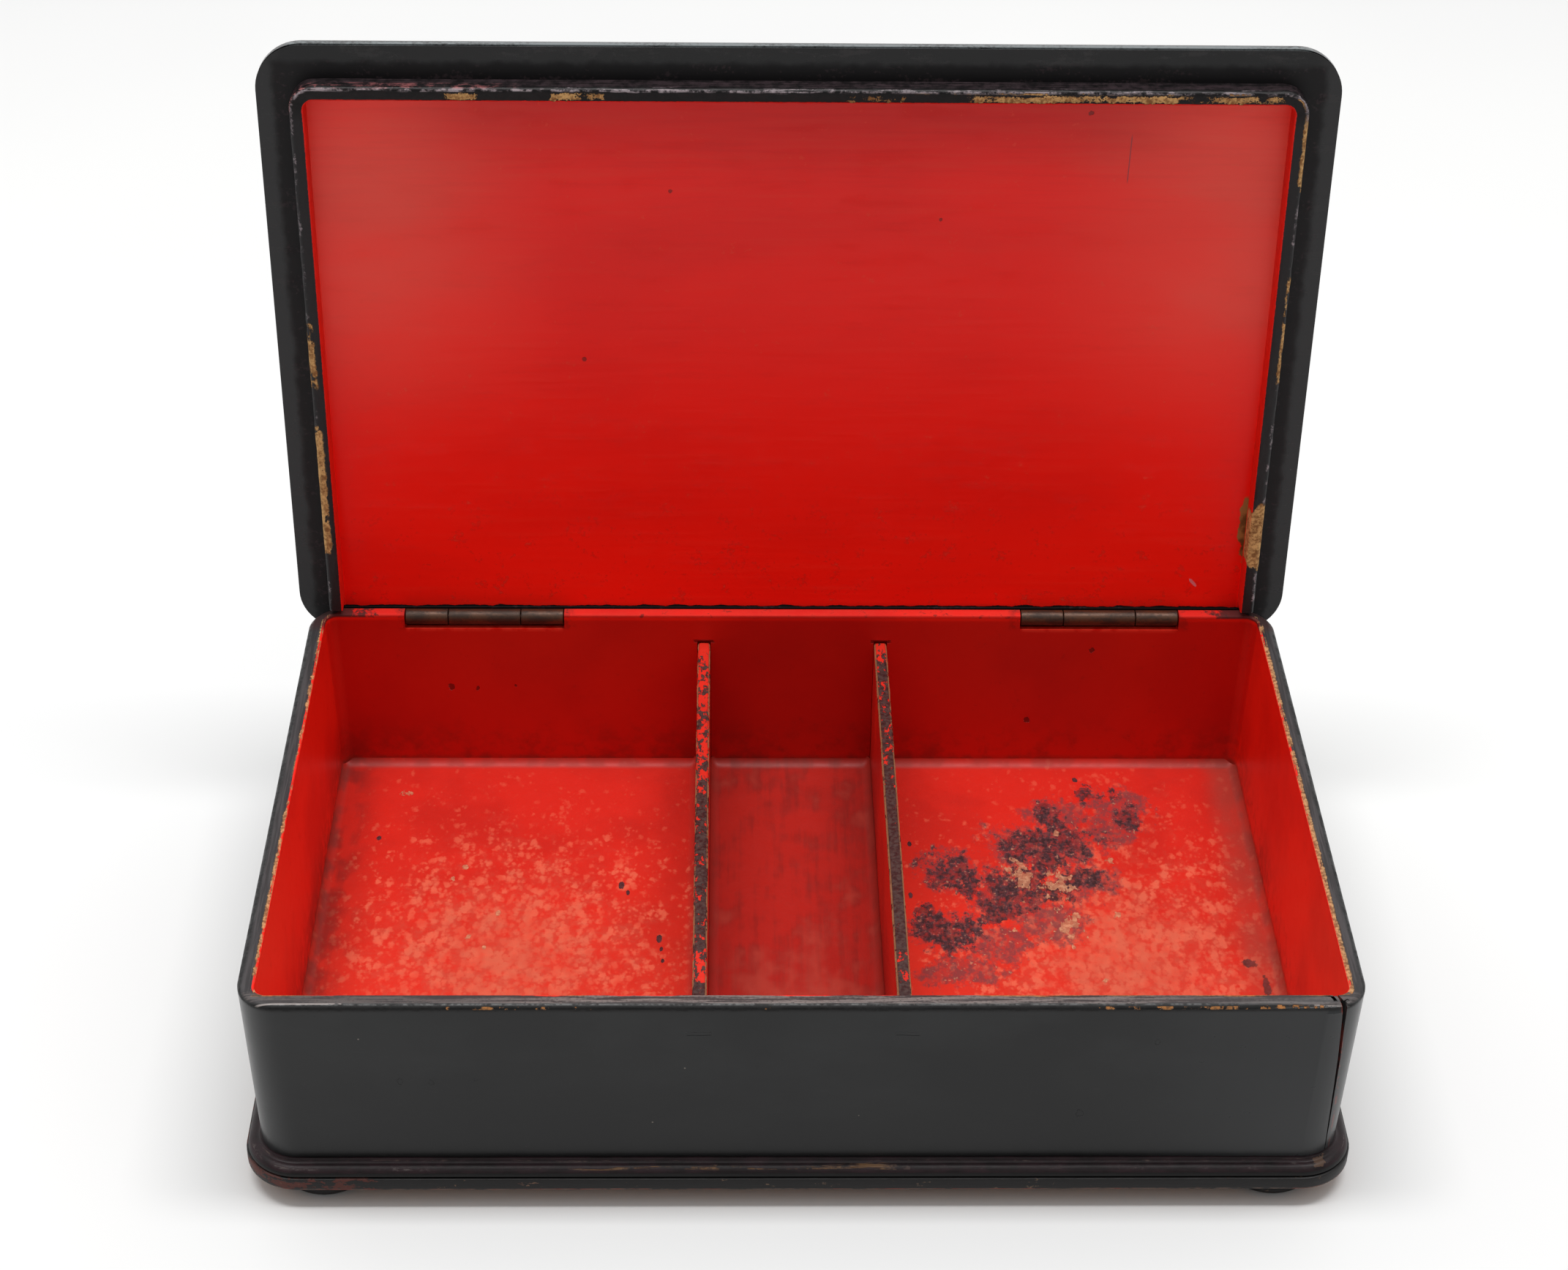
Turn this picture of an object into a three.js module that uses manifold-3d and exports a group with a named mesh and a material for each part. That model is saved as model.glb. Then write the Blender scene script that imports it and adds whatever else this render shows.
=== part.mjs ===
// A lacquered box with three compartments, on a moulded plinth and four turned bun feet. Its domed
// lid hangs on two three-knuckle hinges let flush into the back wall, and stands open on its stop.
// Millimetres, +Z up, the front of the box towards -Y. Every length below can be changed by itself.
import * as THREE from 'three';
import { mergeVertices } from 'three/addons/utils/BufferGeometryUtils.js';
import Module from 'manifold-3d';

const wasm = await Module();
wasm.setup();

// Walls: four boards round the compartments, leaning in a little towards the base. The joints near
// the corners run slantwise through the front and back, and the front right one has opened at the rim
const bodyWidth = 220;
const bodyDepth = 136.2;
const wallHeight = 41.8;
const wallThick = 3.6;
const wallLean = 1.2;
const outerCornerRadius = 8;
const innerCornerRadius = 1.5;
const rimOuterRound = 0.8;
const rimInnerRound = 0.4;
const backRimRound = 1.6;
const jointOutsideInset = 4.6;
const jointInsideInset = 6.9;
const jointOpening = 0.9;

// Base board, plinth moulding and feet
const baseThick = 5.5;
const rebateDepth = 1.2;
const bandHeight = 3;
const bandProud = 0.4;
const bandRound = 0.4;
const grooveHeight = 0.4;
const grooveDepth = 0.45;
const beadRadius = 1.8;
const coveRadius = 0.85;
const coveLedge = 0.3;
const footHeight = 4.6;
const footRadius = 9;
const footSoleRadius = 6.6;
const footNeckRadius = 7.6;
const footSideInset = 16;
const footEndInset = 12;
const pegRadius = 2.5;
const pegLength = 3.6;

// Partitions between the compartments, housed in the front and back walls
const dividerThick = 2.9;
const dividerSpacing = 40.6;
const dividerDrop = 7.7;
const dividerTopRound = 0.7;
const housingDepth = 1;

// Lid: a domed board with a vaulted underside and three locating strips
const lidOverhang = 2.7;
const lidEdgeThick = 4.6;
const lidUnderRound = 1;
const lidTopRound = 2.2;
const domeRise = 3.6;
const soffitStep = 0.4;
const vaultRise = 2.4;
const hingeMargin = 5;
const stripWidth = 3;
const stripHeight = 4.8;
const stripPlay = 0.9;
const stripOuterRound = 0.8;
const stripInnerRound = 0.4;
const stripCornerRadius = 3.2;
const soffitCornerRadius = 1.2;
const lidOpenDegrees = 92.5;

// Hinges: folded leaves on a straight pin, the barrel as thick as the wall
const hingeLength = 36;
const hingeEndInset = 39.5;
const knuckleRadius = 1.8;
const middleKnuckleShare = 0.46;
const leafThick = 0.8;
const bodyLeafDepth = 9;
const lidLeafDepth = 3.2;
const pinRadius = 0.6;
const hingeDrop = 1.75;

// Clearances: glue lines between fixed pieces, play between moving ones, and the cutters' overrun
const glueLine = 0.1;
const lidRest = 0.2;
const knuckleGap = 0.2;
const pinPlay = 0.08;
const slotPlay = 0.1;
const mortisePlay = 0.25;
const overrun = 5;

// Fineness of the curves
const cornerSteps = 5;
const roundSteps = 3;
const domeSteps = 6;
const vaultSteps = 5;
const barrelSides = 24;
const pinSides = 16;
const footSides = 28;

// Levels and edges that everything else lines up with
const floorZ = footHeight + baseThick;
const wallFootZ = floorZ - rebateDepth + glueLine;
const dividerFootZ = floorZ - housingDepth + glueLine;
const rimZ = floorZ + wallHeight;
const lidUnderZ = rimZ + lidRest;
const backEdgeY = bodyDepth / 2;
const axisY = backEdgeY - wallThick / 2;
const axisZ = rimZ - hingeDrop;
const dividerTopZ = rimZ - dividerDrop;
const baseHalfWidth = bodyWidth / 2 - wallLean;
const baseHalfDepth = bodyDepth / 2 - wallLean;
const plinthHeight = bandHeight + grooveHeight + beadRadius + coveRadius;
const plinthProjection = coveLedge + coveRadius + beadRadius + bandProud;

const blackLacquer = new THREE.MeshStandardMaterial({ color: 0x2a2929, roughness: 0.32, metalness: 0 });
const redLacquer = new THREE.MeshStandardMaterial({ color: 0xb8160c, roughness: 0.38, metalness: 0 });
const rubbedLacquer = new THREE.MeshStandardMaterial({ color: 0x322826, roughness: 0.42, metalness: 0 });
const darkBrass = new THREE.MeshStandardMaterial({ color: 0x5a4c34, roughness: 0.45, metalness: 0.85 });

// Turns a closed three.js geometry into a solid that can be joined and cut
function solidOf(geometry) {
  geometry.deleteAttribute('normal');
  geometry.deleteAttribute('uv');
  const merged = mergeVertices(geometry);
  const corners = Array.from(merged.index.array);
  const triVerts = [];
  for (let i = 0; i < corners.length; i += 3) {
    const [a, b, c] = corners.slice(i, i + 3);
    if (a !== b && b !== c && c !== a) triVerts.push(a, b, c);
  }
  return new wasm.Manifold(new wasm.Mesh({
    numProp: 3,
    vertProperties: new Float32Array(merged.attributes.position.array),
    triVerts: new Uint32Array(triVerts),
  }));
}

// Gives a solid back as a named mesh with its own copy of a finish
function pieceOf(name, solid, finish) {
  const shape = solid.getMesh();
  const geometry = new THREE.BufferGeometry();
  geometry.setAttribute('position', new THREE.BufferAttribute(shape.vertProperties, 3));
  geometry.setIndex(new THREE.BufferAttribute(shape.triVerts, 1));
  geometry.computeVertexNormals();
  const mesh = new THREE.Mesh(geometry, finish.clone());
  mesh.name = name;
  return mesh;
}

// A rounded rectangle at one height, anticlockwise from above, its middle moved by shiftY
function roundedRing(halfWidth, halfDepth, radius, z, shiftY = 0) {
  const points = [];
  const centres = [[1, 1], [-1, 1], [-1, -1], [1, -1]];
  centres.forEach(([sideX, sideY], quarter) => {
    for (let step = 0; step <= cornerSteps; step += 1) {
      const turn = (quarter + step / cornerSteps) * Math.PI / 2;
      const x = sideX * (halfWidth - radius) + radius * Math.cos(turn);
      const y = sideY * (halfDepth - radius) + radius * Math.sin(turn) + shiftY;
      points.push([x, y, z]);
    }
  });
  return points;
}

function squareRing(halfWidth, halfDepth, z) {
  return [[halfWidth, halfDepth, z], [-halfWidth, halfDepth, z],
    [-halfWidth, -halfDepth, z], [halfWidth, -halfDepth, z]];
}

// Skins a stack of rings, lowest first, into one closed solid
function loft(rings) {
  const count = rings[0].length;
  const positions = rings.flat(2);
  const index = [];
  for (let level = 0; level < rings.length - 1; level += 1) {
    for (let i = 0; i < count; i += 1) {
      const low = level * count + i;
      const lowNext = level * count + (i + 1) % count;
      index.push(low, lowNext, lowNext + count, low, lowNext + count, low + count);
    }
  }
  const top = (rings.length - 1) * count;
  for (let i = 1; i < count - 1; i += 1) {
    index.push(0, i + 1, i, top, top + i, top + i + 1);
  }
  const geometry = new THREE.BufferGeometry();
  geometry.setAttribute('position', new THREE.Float32BufferAttribute(positions, 3));
  geometry.setIndex(index);
  return solidOf(geometry);
}

// A plain block between two corners
function block(low, high) {
  const size = high.map((value, i) => value - low[i]);
  const middle = high.map((value, i) => (value + low[i]) / 2);
  return solidOf(new THREE.BoxGeometry(...size).translate(...middle));
}

// A round rod along X
function rod(radius, fromX, toX, sides, y = axisY, z = axisZ) {
  const geometry = new THREE.CylinderGeometry(radius, radius, toX - fromX, sides);
  geometry.rotateZ(Math.PI / 2);
  return solidOf(geometry.translate((fromX + toX) / 2, y, z));
}

// An outline in X and Y made into an upright prism
function prism(outline, fromZ, toZ) {
  const shape = new THREE.Shape(outline.map(([x, y]) => new THREE.Vector2(x, y)));
  const geometry = new THREE.ExtrudeGeometry(shape, { depth: toZ - fromZ, bevelEnabled: false });
  return solidOf(geometry.translate(0, 0, fromZ));
}

// Insets and rises of a rounded arris, from its upright face round to its flat one
function arris(radius) {
  const points = [];
  for (let step = 1; step <= roundSteps; step += 1) {
    const turn = step / roundSteps * Math.PI / 2;
    points.push([radius * (1 - Math.cos(turn)), radius * Math.sin(turn)]);
  }
  return points;
}

function lean(z) {
  return wallLean * (rimZ - z) / wallHeight;
}

function outerRing(z, inset) {
  const slope = lean(z) + inset;
  return roundedRing(bodyWidth / 2 - slope, bodyDepth / 2 - slope, outerCornerRadius - inset, z);
}

function innerRing(z, grow) {
  const slope = lean(z) + wallThick - grow;
  return roundedRing(bodyWidth / 2 - slope, bodyDepth / 2 - slope, innerCornerRadius + grow, z);
}

// The space that the front wall fills between its slanting joints, the right one opened at the rim
function frontBoardSpace(grow, opening) {
  const slant = (jointInsideInset - jointOutsideInset) / wallThick;
  const outX = bodyWidth / 2 - jointOutsideInset + slant * overrun + grow;
  const inX = bodyWidth / 2 - jointInsideInset - slant * overrun + grow;
  const outY = -bodyDepth / 2 - overrun;
  const inY = wallThick + overrun - bodyDepth / 2;
  const ringAt = (z, open) => [[inX - open, inY, z], [-inX, inY, z], [-outX, outY, z], [outX - open, outY, z]];
  return loft([
    ringAt(wallFootZ - overrun, 0),
    ringAt(wallFootZ, 0),
    ringAt(rimZ, opening),
    ringAt(rimZ + overrun, opening),
  ]);
}

// The space between the inner faces of the front and back walls, run out past the sides
function betweenEndWalls(grow, topZ) {
  const ringAt = (z) => squareRing(bodyWidth, bodyDepth / 2 - wallThick - lean(z) + grow, z);
  return loft([ringAt(wallFootZ), ringAt(topZ)]);
}

// The four walls come from one tapered shell, parted near the corners. The top arris of the back
// wall is eased further than the rest, so that the lid clears it as it swings
const wallShell = (() => {
  const outside = loft([
    outerRing(wallFootZ, 0),
    outerRing(rimZ - rimOuterRound, 0),
    ...arris(rimOuterRound).map(([inset, rise]) => outerRing(rimZ - rimOuterRound + rise, inset)),
  ]);
  const inside = loft([
    innerRing(wallFootZ - overrun, 0),
    innerRing(rimZ - rimInnerRound, 0),
    ...arris(rimInnerRound).map(([grow, rise]) => innerRing(rimZ - rimInnerRound + rise, grow)),
    innerRing(rimZ + overrun, rimInnerRound),
  ]);
  const backRound = block(
    [-bodyWidth, backEdgeY - backRimRound, rimZ - backRimRound],
    [bodyWidth, backEdgeY + overrun, rimZ + overrun],
  ).subtract(rod(
    backRimRound,
    -bodyWidth - overrun,
    bodyWidth + overrun,
    4 * cornerSteps,
    backEdgeY - backRimRound,
    rimZ - backRimRound,
  ));
  return outside.subtract(inside).subtract(backRound);
})();

const dividerPlaces = { left_divider: -dividerSpacing / 2, right_divider: dividerSpacing / 2 };
const hingeCentreX = bodyWidth / 2 - hingeEndInset;
const hingePlaces = { left_hinge: -hingeCentreX, right_hinge: hingeCentreX };

// Stopped housings that the partitions' ends slide up into
function housings() {
  const half = dividerThick / 2 + slotPlay;
  const depths = betweenEndWalls(housingDepth, dividerTopZ + slotPlay);
  const cuts = Object.values(dividerPlaces).map((x) => depths.intersect(block(
    [x - half, -bodyDepth, wallFootZ],
    [x + half, bodyDepth, rimZ],
  )));
  return cuts[0].add(cuts[1]);
}

// A mortise through the wall for each barrel, with a blind slot below it for the leaf
function hingeMortises() {
  const halfLength = hingeLength / 2 + mortisePlay;
  const halfSlot = leafThick / 2 + slotPlay;
  const mortiseZ = axisZ - knuckleRadius - mortisePlay;
  const cuts = Object.values(hingePlaces).map((x) => {
    const mortise = block(
      [x - halfLength, axisY - wallThick, mortiseZ],
      [x + halfLength, axisY + wallThick, rimZ + overrun],
    );
    const slot = block(
      [x - halfLength, axisY - halfSlot, axisZ - bodyLeafDepth - slotPlay],
      [x + halfLength, axisY + halfSlot, axisZ],
    );
    return mortise.add(slot);
  });
  return cuts[0].add(cuts[1]);
}

function wallPieces() {
  const grooved = wallShell.subtract(housings());
  const front = grooved.intersect(frontBoardSpace(-glueLine / 2, jointOpening));
  const back = grooved.intersect(frontBoardSpace(-glueLine / 2, 0).rotate([0, 0, 180]));
  const endBoards = frontBoardSpace(glueLine / 2, 0);
  const sides = wallShell.subtract(endBoards).subtract(endBoards.rotate([0, 0, 180]));
  const leftHalf = block([-bodyWidth, -bodyDepth, 0], [0, bodyDepth, rimZ + overrun]);
  return [
    pieceOf('front_wall', front, blackLacquer),
    pieceOf('back_wall', back.subtract(hingeMortises()), blackLacquer),
    pieceOf('left_wall', sides.intersect(leftHalf), blackLacquer),
    pieceOf('right_wall', sides.subtract(leftHalf), blackLacquer),
  ];
}

// Partitions: boards with eased top edges, let into the floor, their ends cut to the lean of the walls
function dividerPieces() {
  const half = dividerThick / 2;
  const depths = betweenEndWalls(housingDepth - slotPlay, dividerTopZ + overrun);
  return Object.entries(dividerPlaces).map(([name, x]) => {
    const section = new THREE.Shape();
    section.moveTo(-half, dividerFootZ);
    section.lineTo(half, dividerFootZ);
    section.lineTo(half, dividerTopZ - dividerTopRound);
    section.absarc(half - dividerTopRound, dividerTopZ - dividerTopRound, dividerTopRound, 0, Math.PI / 2);
    section.absarc(dividerTopRound - half, dividerTopZ - dividerTopRound, dividerTopRound, Math.PI / 2, Math.PI);
    section.closePath();
    const settings = { depth: 2 * bodyDepth, bevelEnabled: false, curveSegments: roundSteps };
    const board = new THREE.ExtrudeGeometry(section, settings);
    board.translate(0, 0, -bodyDepth);
    board.rotateX(Math.PI / 2);
    board.translate(x, 0, 0);
    return pieceOf(name, solidOf(board).intersect(depths), redLacquer);
  });
}

const footPlaces = {
  foot_front_left: [-1, -1],
  foot_front_right: [1, -1],
  foot_back_left: [-1, 1],
  foot_back_right: [1, 1],
};

function footCentre([sideX, sideY]) {
  const halfWidth = baseHalfWidth + plinthProjection - footSideInset;
  const halfDepth = baseHalfDepth + plinthProjection - footEndInset;
  return [sideX * halfWidth, sideY * halfDepth];
}

// A profile of radius and height turned about an upright axis
function turned(profile, x, y) {
  const geometry = new THREE.LatheGeometry(profile.map(([r, z]) => new THREE.Vector2(r, z)), footSides);
  geometry.rotateX(Math.PI / 2);
  const solid = solidOf(geometry);
  return solid.translate([x, y, 0]);
}

// Base board, rebated round its edge for the walls to stand on, grooved for the partitions and bored
// for the feet's pegs. What stands up inside the rebate is the floor of the box
function basePiece() {
  const shelfZ = floorZ - rebateDepth;
  const ringAt = (z) => roundedRing(baseHalfWidth, baseHalfDepth, outerCornerRadius, z);
  const floorInset = wallThick + lean(wallFootZ) + glueLine;
  const fieldAt = (z) => roundedRing(
    bodyWidth / 2 - floorInset,
    bodyDepth / 2 - floorInset,
    innerCornerRadius - glueLine,
    z,
  );
  const field = loft([fieldAt(shelfZ - rebateDepth), fieldAt(floorZ)]);
  let board = loft([ringAt(footHeight), ringAt(shelfZ)]).add(field);
  const halfGroove = dividerThick / 2 + slotPlay;
  for (const x of Object.values(dividerPlaces)) {
    board = board.subtract(block(
      [x - halfGroove, -bodyDepth, floorZ - housingDepth],
      [x + halfGroove, bodyDepth, floorZ + overrun],
    ));
  }
  const boreRadius = pegRadius + slotPlay;
  const boreTop = footHeight + pegLength + slotPlay;
  for (const place of Object.values(footPlaces)) {
    const bore = [[0, 0], [boreRadius, 0], [boreRadius, boreTop], [0, boreTop]];
    board = board.subtract(turned(bore, ...footCentre(place)));
  }
  return pieceOf('base_board', board, redLacquer);
}

// Bun feet: a swelling side between a flat sole and the neck, with a peg on top
function footPieces() {
  const topZ = footHeight - glueLine;
  const profile = [[0, 0], [footSoleRadius, 0]];
  for (let step = 1; step < 2 * roundSteps; step += 1) {
    const share = step / (2 * roundSteps);
    const straight = footSoleRadius + (footNeckRadius - footSoleRadius) * share;
    const swell = footRadius - (footSoleRadius + footNeckRadius) / 2;
    profile.push([straight + swell * Math.sin(Math.PI * share), topZ * share]);
  }
  profile.push([footNeckRadius, topZ], [pegRadius, topZ]);
  profile.push([pegRadius, footHeight + pegLength], [0, footHeight + pegLength]);
  return Object.entries(footPlaces).map(([name, place]) => (
    pieceOf(name, turned(profile, ...footCentre(place)), rubbedLacquer)
  ));
}

// The moulding's outline, as how far it stands out and how high, from its lower arris upwards
function mouldingProfile() {
  const points = [];
  const bandOut = plinthProjection;
  const beadOut = bandOut - bandProud;
  const coveOut = beadOut - beadRadius;
  const beadZ = bandHeight + grooveHeight;
  const coveZ = beadZ + beadRadius;
  for (let step = 0; step <= roundSteps; step += 1) {
    const turn = step / roundSteps * Math.PI / 2;
    points.push([bandOut - bandRound + bandRound * Math.sin(turn), bandRound - bandRound * Math.cos(turn)]);
  }
  points.push([bandOut, bandHeight - bandRound / 2], [bandOut - bandRound / 2, bandHeight]);
  points.push([beadOut - grooveDepth, bandHeight], [beadOut - grooveDepth, beadZ]);
  for (let step = 0; step <= 2 * roundSteps; step += 1) {
    const turn = step / (2 * roundSteps) * Math.PI / 2;
    points.push([coveOut + beadRadius * Math.cos(turn), beadZ + beadRadius * Math.sin(turn)]);
  }
  for (let step = 1; step <= roundSteps; step += 1) {
    const turn = step / roundSteps * Math.PI / 2;
    points.push([coveOut - coveRadius * Math.sin(turn), coveZ + coveRadius * (1 - Math.cos(turn))]);
  }
  return points;
}

// A wedge of the plan that keeps one side of a frame up to the mitres at its corners, where the
// front and back lengths stand off by one glue line
function mitreWedge(halfWidth, halfDepth, side, toZ) {
  const outX = halfWidth + overrun;
  const outY = halfDepth + overrun;
  const endWedge = [[glueLine - outX, -outY], [outX - glueLine, -outY], [0, outX - outY - glueLine]];
  const sideWedge = [[outX, -outY], [outX, outY], [outX - outY, 0]];
  const wedge = prism(side === 'front' || side === 'back' ? endWedge : sideWedge, 0, toZ);
  return side === 'front' || side === 'right' ? wedge : wedge.rotate([0, 0, 180]);
}

// Plinth: one moulding run round the base and the foot of the walls, mitred into four lengths
function plinthPieces() {
  const rings = mouldingProfile().map(([out, rise]) => roundedRing(
    baseHalfWidth + out,
    baseHalfDepth + out,
    outerCornerRadius + out,
    footHeight + rise,
  ));
  const core = [footHeight - overrun, footHeight + plinthHeight + overrun].map((z) => (
    roundedRing(baseHalfWidth + glueLine, baseHalfDepth + glueLine, outerCornerRadius + glueLine, z)
  ));
  const frame = loft(rings).subtract(loft(core));
  return ['front', 'back', 'left', 'right'].map((side) => {
    const wedge = mitreWedge(baseHalfWidth, baseHalfDepth, side, rimZ);
    return pieceOf(`plinth_${side}`, frame.intersect(wedge), rubbedLacquer);
  });
}

// Half sizes of the lid and of the red field in its underside, and where the field's middle lies
const lidHalfWidth = bodyWidth / 2 + lidOverhang;
const lidHalfDepth = bodyDepth / 2 + lidOverhang;
const lidCornerRadius = outerCornerRadius + lidOverhang;
const stripInset = wallThick + stripPlay;
const fieldHalfWidth = bodyWidth / 2 - stripInset - stripWidth;
const fieldFrontY = stripInset + stripWidth - bodyDepth / 2;
const fieldBackY = bodyDepth / 2 - hingeMargin;
const fieldHalfDepth = (fieldBackY - fieldFrontY) / 2;
const fieldMiddleY = (fieldBackY + fieldFrontY) / 2;

// Rings that shrink towards the middle of a cushion-shaped swell while they climb by its rise,
// closer together near the edge, where the swell bends most
function swellRings(halfWidth, halfDepth, radius, z, rise, steps, shiftY) {
  const reachShare = 0.88;
  const cornerShare = 0.3;
  const rings = [];
  for (let step = 1; step <= steps; step += 1) {
    const way = 1 - Math.cos(Math.PI / 2 * step / steps);
    const inset = halfDepth * reachShare * way;
    const corner = Math.min(radius + cornerShare * inset, halfDepth - inset);
    const climb = rise * Math.sin(Math.PI / 2 * way);
    rings.push(roundedRing(halfWidth - inset, halfDepth - inset, corner, z + climb, shiftY));
  }
  return rings;
}

function lidRing(inset, z) {
  return roundedRing(lidHalfWidth - inset, lidHalfDepth - inset, lidCornerRadius - inset, z);
}

// The lid board: rounded edges, domed top, vaulted soffit, and blind slots for the hinge leaves
function lidPiece() {
  const shoulderZ = lidUnderZ + lidEdgeThick;
  const under = arris(lidUnderRound).reverse().map(([inset, rise]) => (
    lidRing(inset, lidUnderZ + lidUnderRound - rise)
  ));
  const over = arris(lidTopRound).map(([inset, rise]) => lidRing(inset, shoulderZ - lidTopRound + rise));
  const dome = swellRings(
    lidHalfWidth - lidTopRound,
    lidHalfDepth - lidTopRound,
    lidCornerRadius - lidTopRound,
    shoulderZ,
    domeRise,
    domeSteps,
    0,
  );
  const outside = loft([
    ...under,
    lidRing(0, lidUnderZ + lidUnderRound),
    lidRing(0, shoulderZ - lidTopRound),
    ...over,
    ...dome,
  ]);
  const fieldAt = (z) => roundedRing(fieldHalfWidth, fieldHalfDepth, soffitCornerRadius, z, fieldMiddleY);
  const vault = loft([
    fieldAt(lidUnderZ - overrun),
    fieldAt(lidUnderZ + soffitStep),
    ...swellRings(
      fieldHalfWidth,
      fieldHalfDepth,
      soffitCornerRadius,
      lidUnderZ + soffitStep,
      vaultRise,
      vaultSteps,
      fieldMiddleY,
    ),
  ]);
  let board = outside.subtract(vault);
  const halfLength = hingeLength / 2 + mortisePlay;
  const halfSlot = leafThick / 2 + slotPlay;
  for (const x of Object.values(hingePlaces)) {
    board = board.subtract(block(
      [x - halfLength, axisY - halfSlot, lidUnderZ - overrun],
      [x + halfLength, axisY + halfSlot, lidUnderZ + lidLeafDepth + slotPlay],
    ));
  }
  return pieceOf('lid_board', board, blackLacquer);
}

// Locating strips under the lid, mitred at the front corners and open towards the hinges
function stripPieces() {
  const halfWidth = bodyWidth / 2 - stripInset;
  const frontY = stripInset - bodyDepth / 2;
  const halfDepth = (fieldBackY - frontY) / 2 + overrun;
  const middleY = frontY + halfDepth;
  const soleZ = lidUnderZ - stripHeight;
  const outerAt = (inset, z) => roundedRing(
    halfWidth - inset,
    halfDepth - inset,
    stripCornerRadius - inset,
    z,
    middleY,
  );
  const innerAt = (grow, z) => roundedRing(
    halfWidth - stripWidth + grow,
    halfDepth - stripWidth + grow,
    soffitCornerRadius + grow,
    z,
    middleY,
  );
  const outside = loft([
    ...arris(stripOuterRound).reverse().map(([inset, rise]) => outerAt(inset, soleZ + stripOuterRound - rise)),
    outerAt(0, soleZ + stripOuterRound),
    outerAt(0, lidUnderZ - glueLine),
  ]);
  const inside = loft([
    innerAt(stripInnerRound, soleZ - overrun),
    ...arris(stripInnerRound).reverse().map(([grow, rise]) => innerAt(grow, soleZ + stripInnerRound - rise)),
    innerAt(0, soleZ + stripInnerRound),
    innerAt(0, lidUnderZ + overrun),
  ]);
  const keep = block([-bodyWidth, -bodyDepth, 0], [bodyWidth, fieldBackY, lidUnderZ + overrun]);
  const frame = outside.subtract(inside).intersect(keep);
  return ['front', 'left', 'right'].map((side) => {
    const wedge = mitreWedge(halfWidth, -frontY, side, lidUnderZ + overrun);
    return pieceOf(`lid_strip_${side}`, frame.intersect(wedge), blackLacquer);
  });
}

// One leaf with its knuckles: body leaf below with the two outer ones, lid leaf above with the middle
function hingeLeaf(centreX, knuckles, plateFromZ, plateToZ, towardsPlate) {
  const halfLength = hingeLength / 2;
  let leaf = block(
    [centreX - halfLength, axisY - leafThick / 2, plateFromZ],
    [centreX + halfLength, axisY + leafThick / 2, plateToZ],
  );
  for (const [fromX, toX] of knuckles) {
    const webZ = towardsPlate > 0 ? [axisZ, plateFromZ + leafThick] : [plateToZ - leafThick, axisZ];
    leaf = leaf.add(rod(knuckleRadius, fromX, toX, barrelSides));
    leaf = leaf.add(block([fromX, axisY - leafThick / 2, webZ[0]], [toX, axisY + leafThick / 2, webZ[1]]));
  }
  const bore = rod(pinRadius + pinPlay, centreX - hingeLength, centreX + hingeLength, pinSides);
  return leaf.subtract(bore);
}

function hingePieces(name, centreX) {
  const halfLength = hingeLength / 2;
  const halfMiddle = hingeLength * middleKnuckleShare / 2;
  const outerKnuckles = [
    [centreX - halfLength, centreX - halfMiddle - knuckleGap / 2],
    [centreX + halfMiddle + knuckleGap / 2, centreX + halfLength],
  ];
  const middleKnuckle = [[centreX - halfMiddle + knuckleGap / 2, centreX + halfMiddle - knuckleGap / 2]];
  const bodyPlateTop = axisZ - knuckleRadius - slotPlay;
  const bodyLeaf = hingeLeaf(centreX, outerKnuckles, axisZ - bodyLeafDepth, bodyPlateTop, -1);
  const lidLeaf = hingeLeaf(centreX, middleKnuckle, lidUnderZ, lidUnderZ + lidLeafDepth, 1);
  const pin = rod(pinRadius, centreX - halfLength, centreX + halfLength, pinSides);
  return {
    body: [
      pieceOf(`${name}_body_leaf`, bodyLeaf, darkBrass),
      pieceOf(`${name}_pin`, pin, darkBrass),
    ],
    lid: [pieceOf(`${name}_lid_leaf`, lidLeaf, darkBrass)],
  };
}

const hinges = Object.entries(hingePlaces).map(([name, x]) => hingePieces(name, x));

const body = new THREE.Group();
body.add(
  ...wallPieces(),
  basePiece(),
  ...dividerPieces(),
  ...plinthPieces(),
  ...footPieces(),
  ...hinges.flatMap((hinge) => hinge.body),
);

// The lid is built closed and swung open about the hinge pins
const lid = new THREE.Group();
lid.add(lidPiece(), ...stripPieces(), ...hinges.flatMap((hinge) => hinge.lid));
lid.children.forEach((piece) => piece.position.set(0, -axisY, -axisZ));
lid.position.set(0, axisY, axisZ);
lid.rotation.x = -THREE.MathUtils.degToRad(lidOpenDegrees);

// The origin goes under the middle of the whole object, on the surface that it stands on
const lacquerBox = new THREE.Group();
lacquerBox.add(body, lid);
const bounds = new THREE.Box3().setFromObject(lacquerBox, true);
const middle = bounds.getCenter(new THREE.Vector3());
lacquerBox.position.set(-middle.x, -middle.y, 0);

export default lacquerBox;
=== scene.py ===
# An oblong lacquered box, black outside and vermilion inside, seen from the front and above with its
# lid open: three compartments, a moulded plinth on bun feet, and a domed lid on two flush hinges.
# Metres in the scene; the sizes in each section are millimetres. The front of the box is towards -Y.
import functools
import math

import bmesh
import bpy
from mathutils import Matrix, Vector


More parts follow.
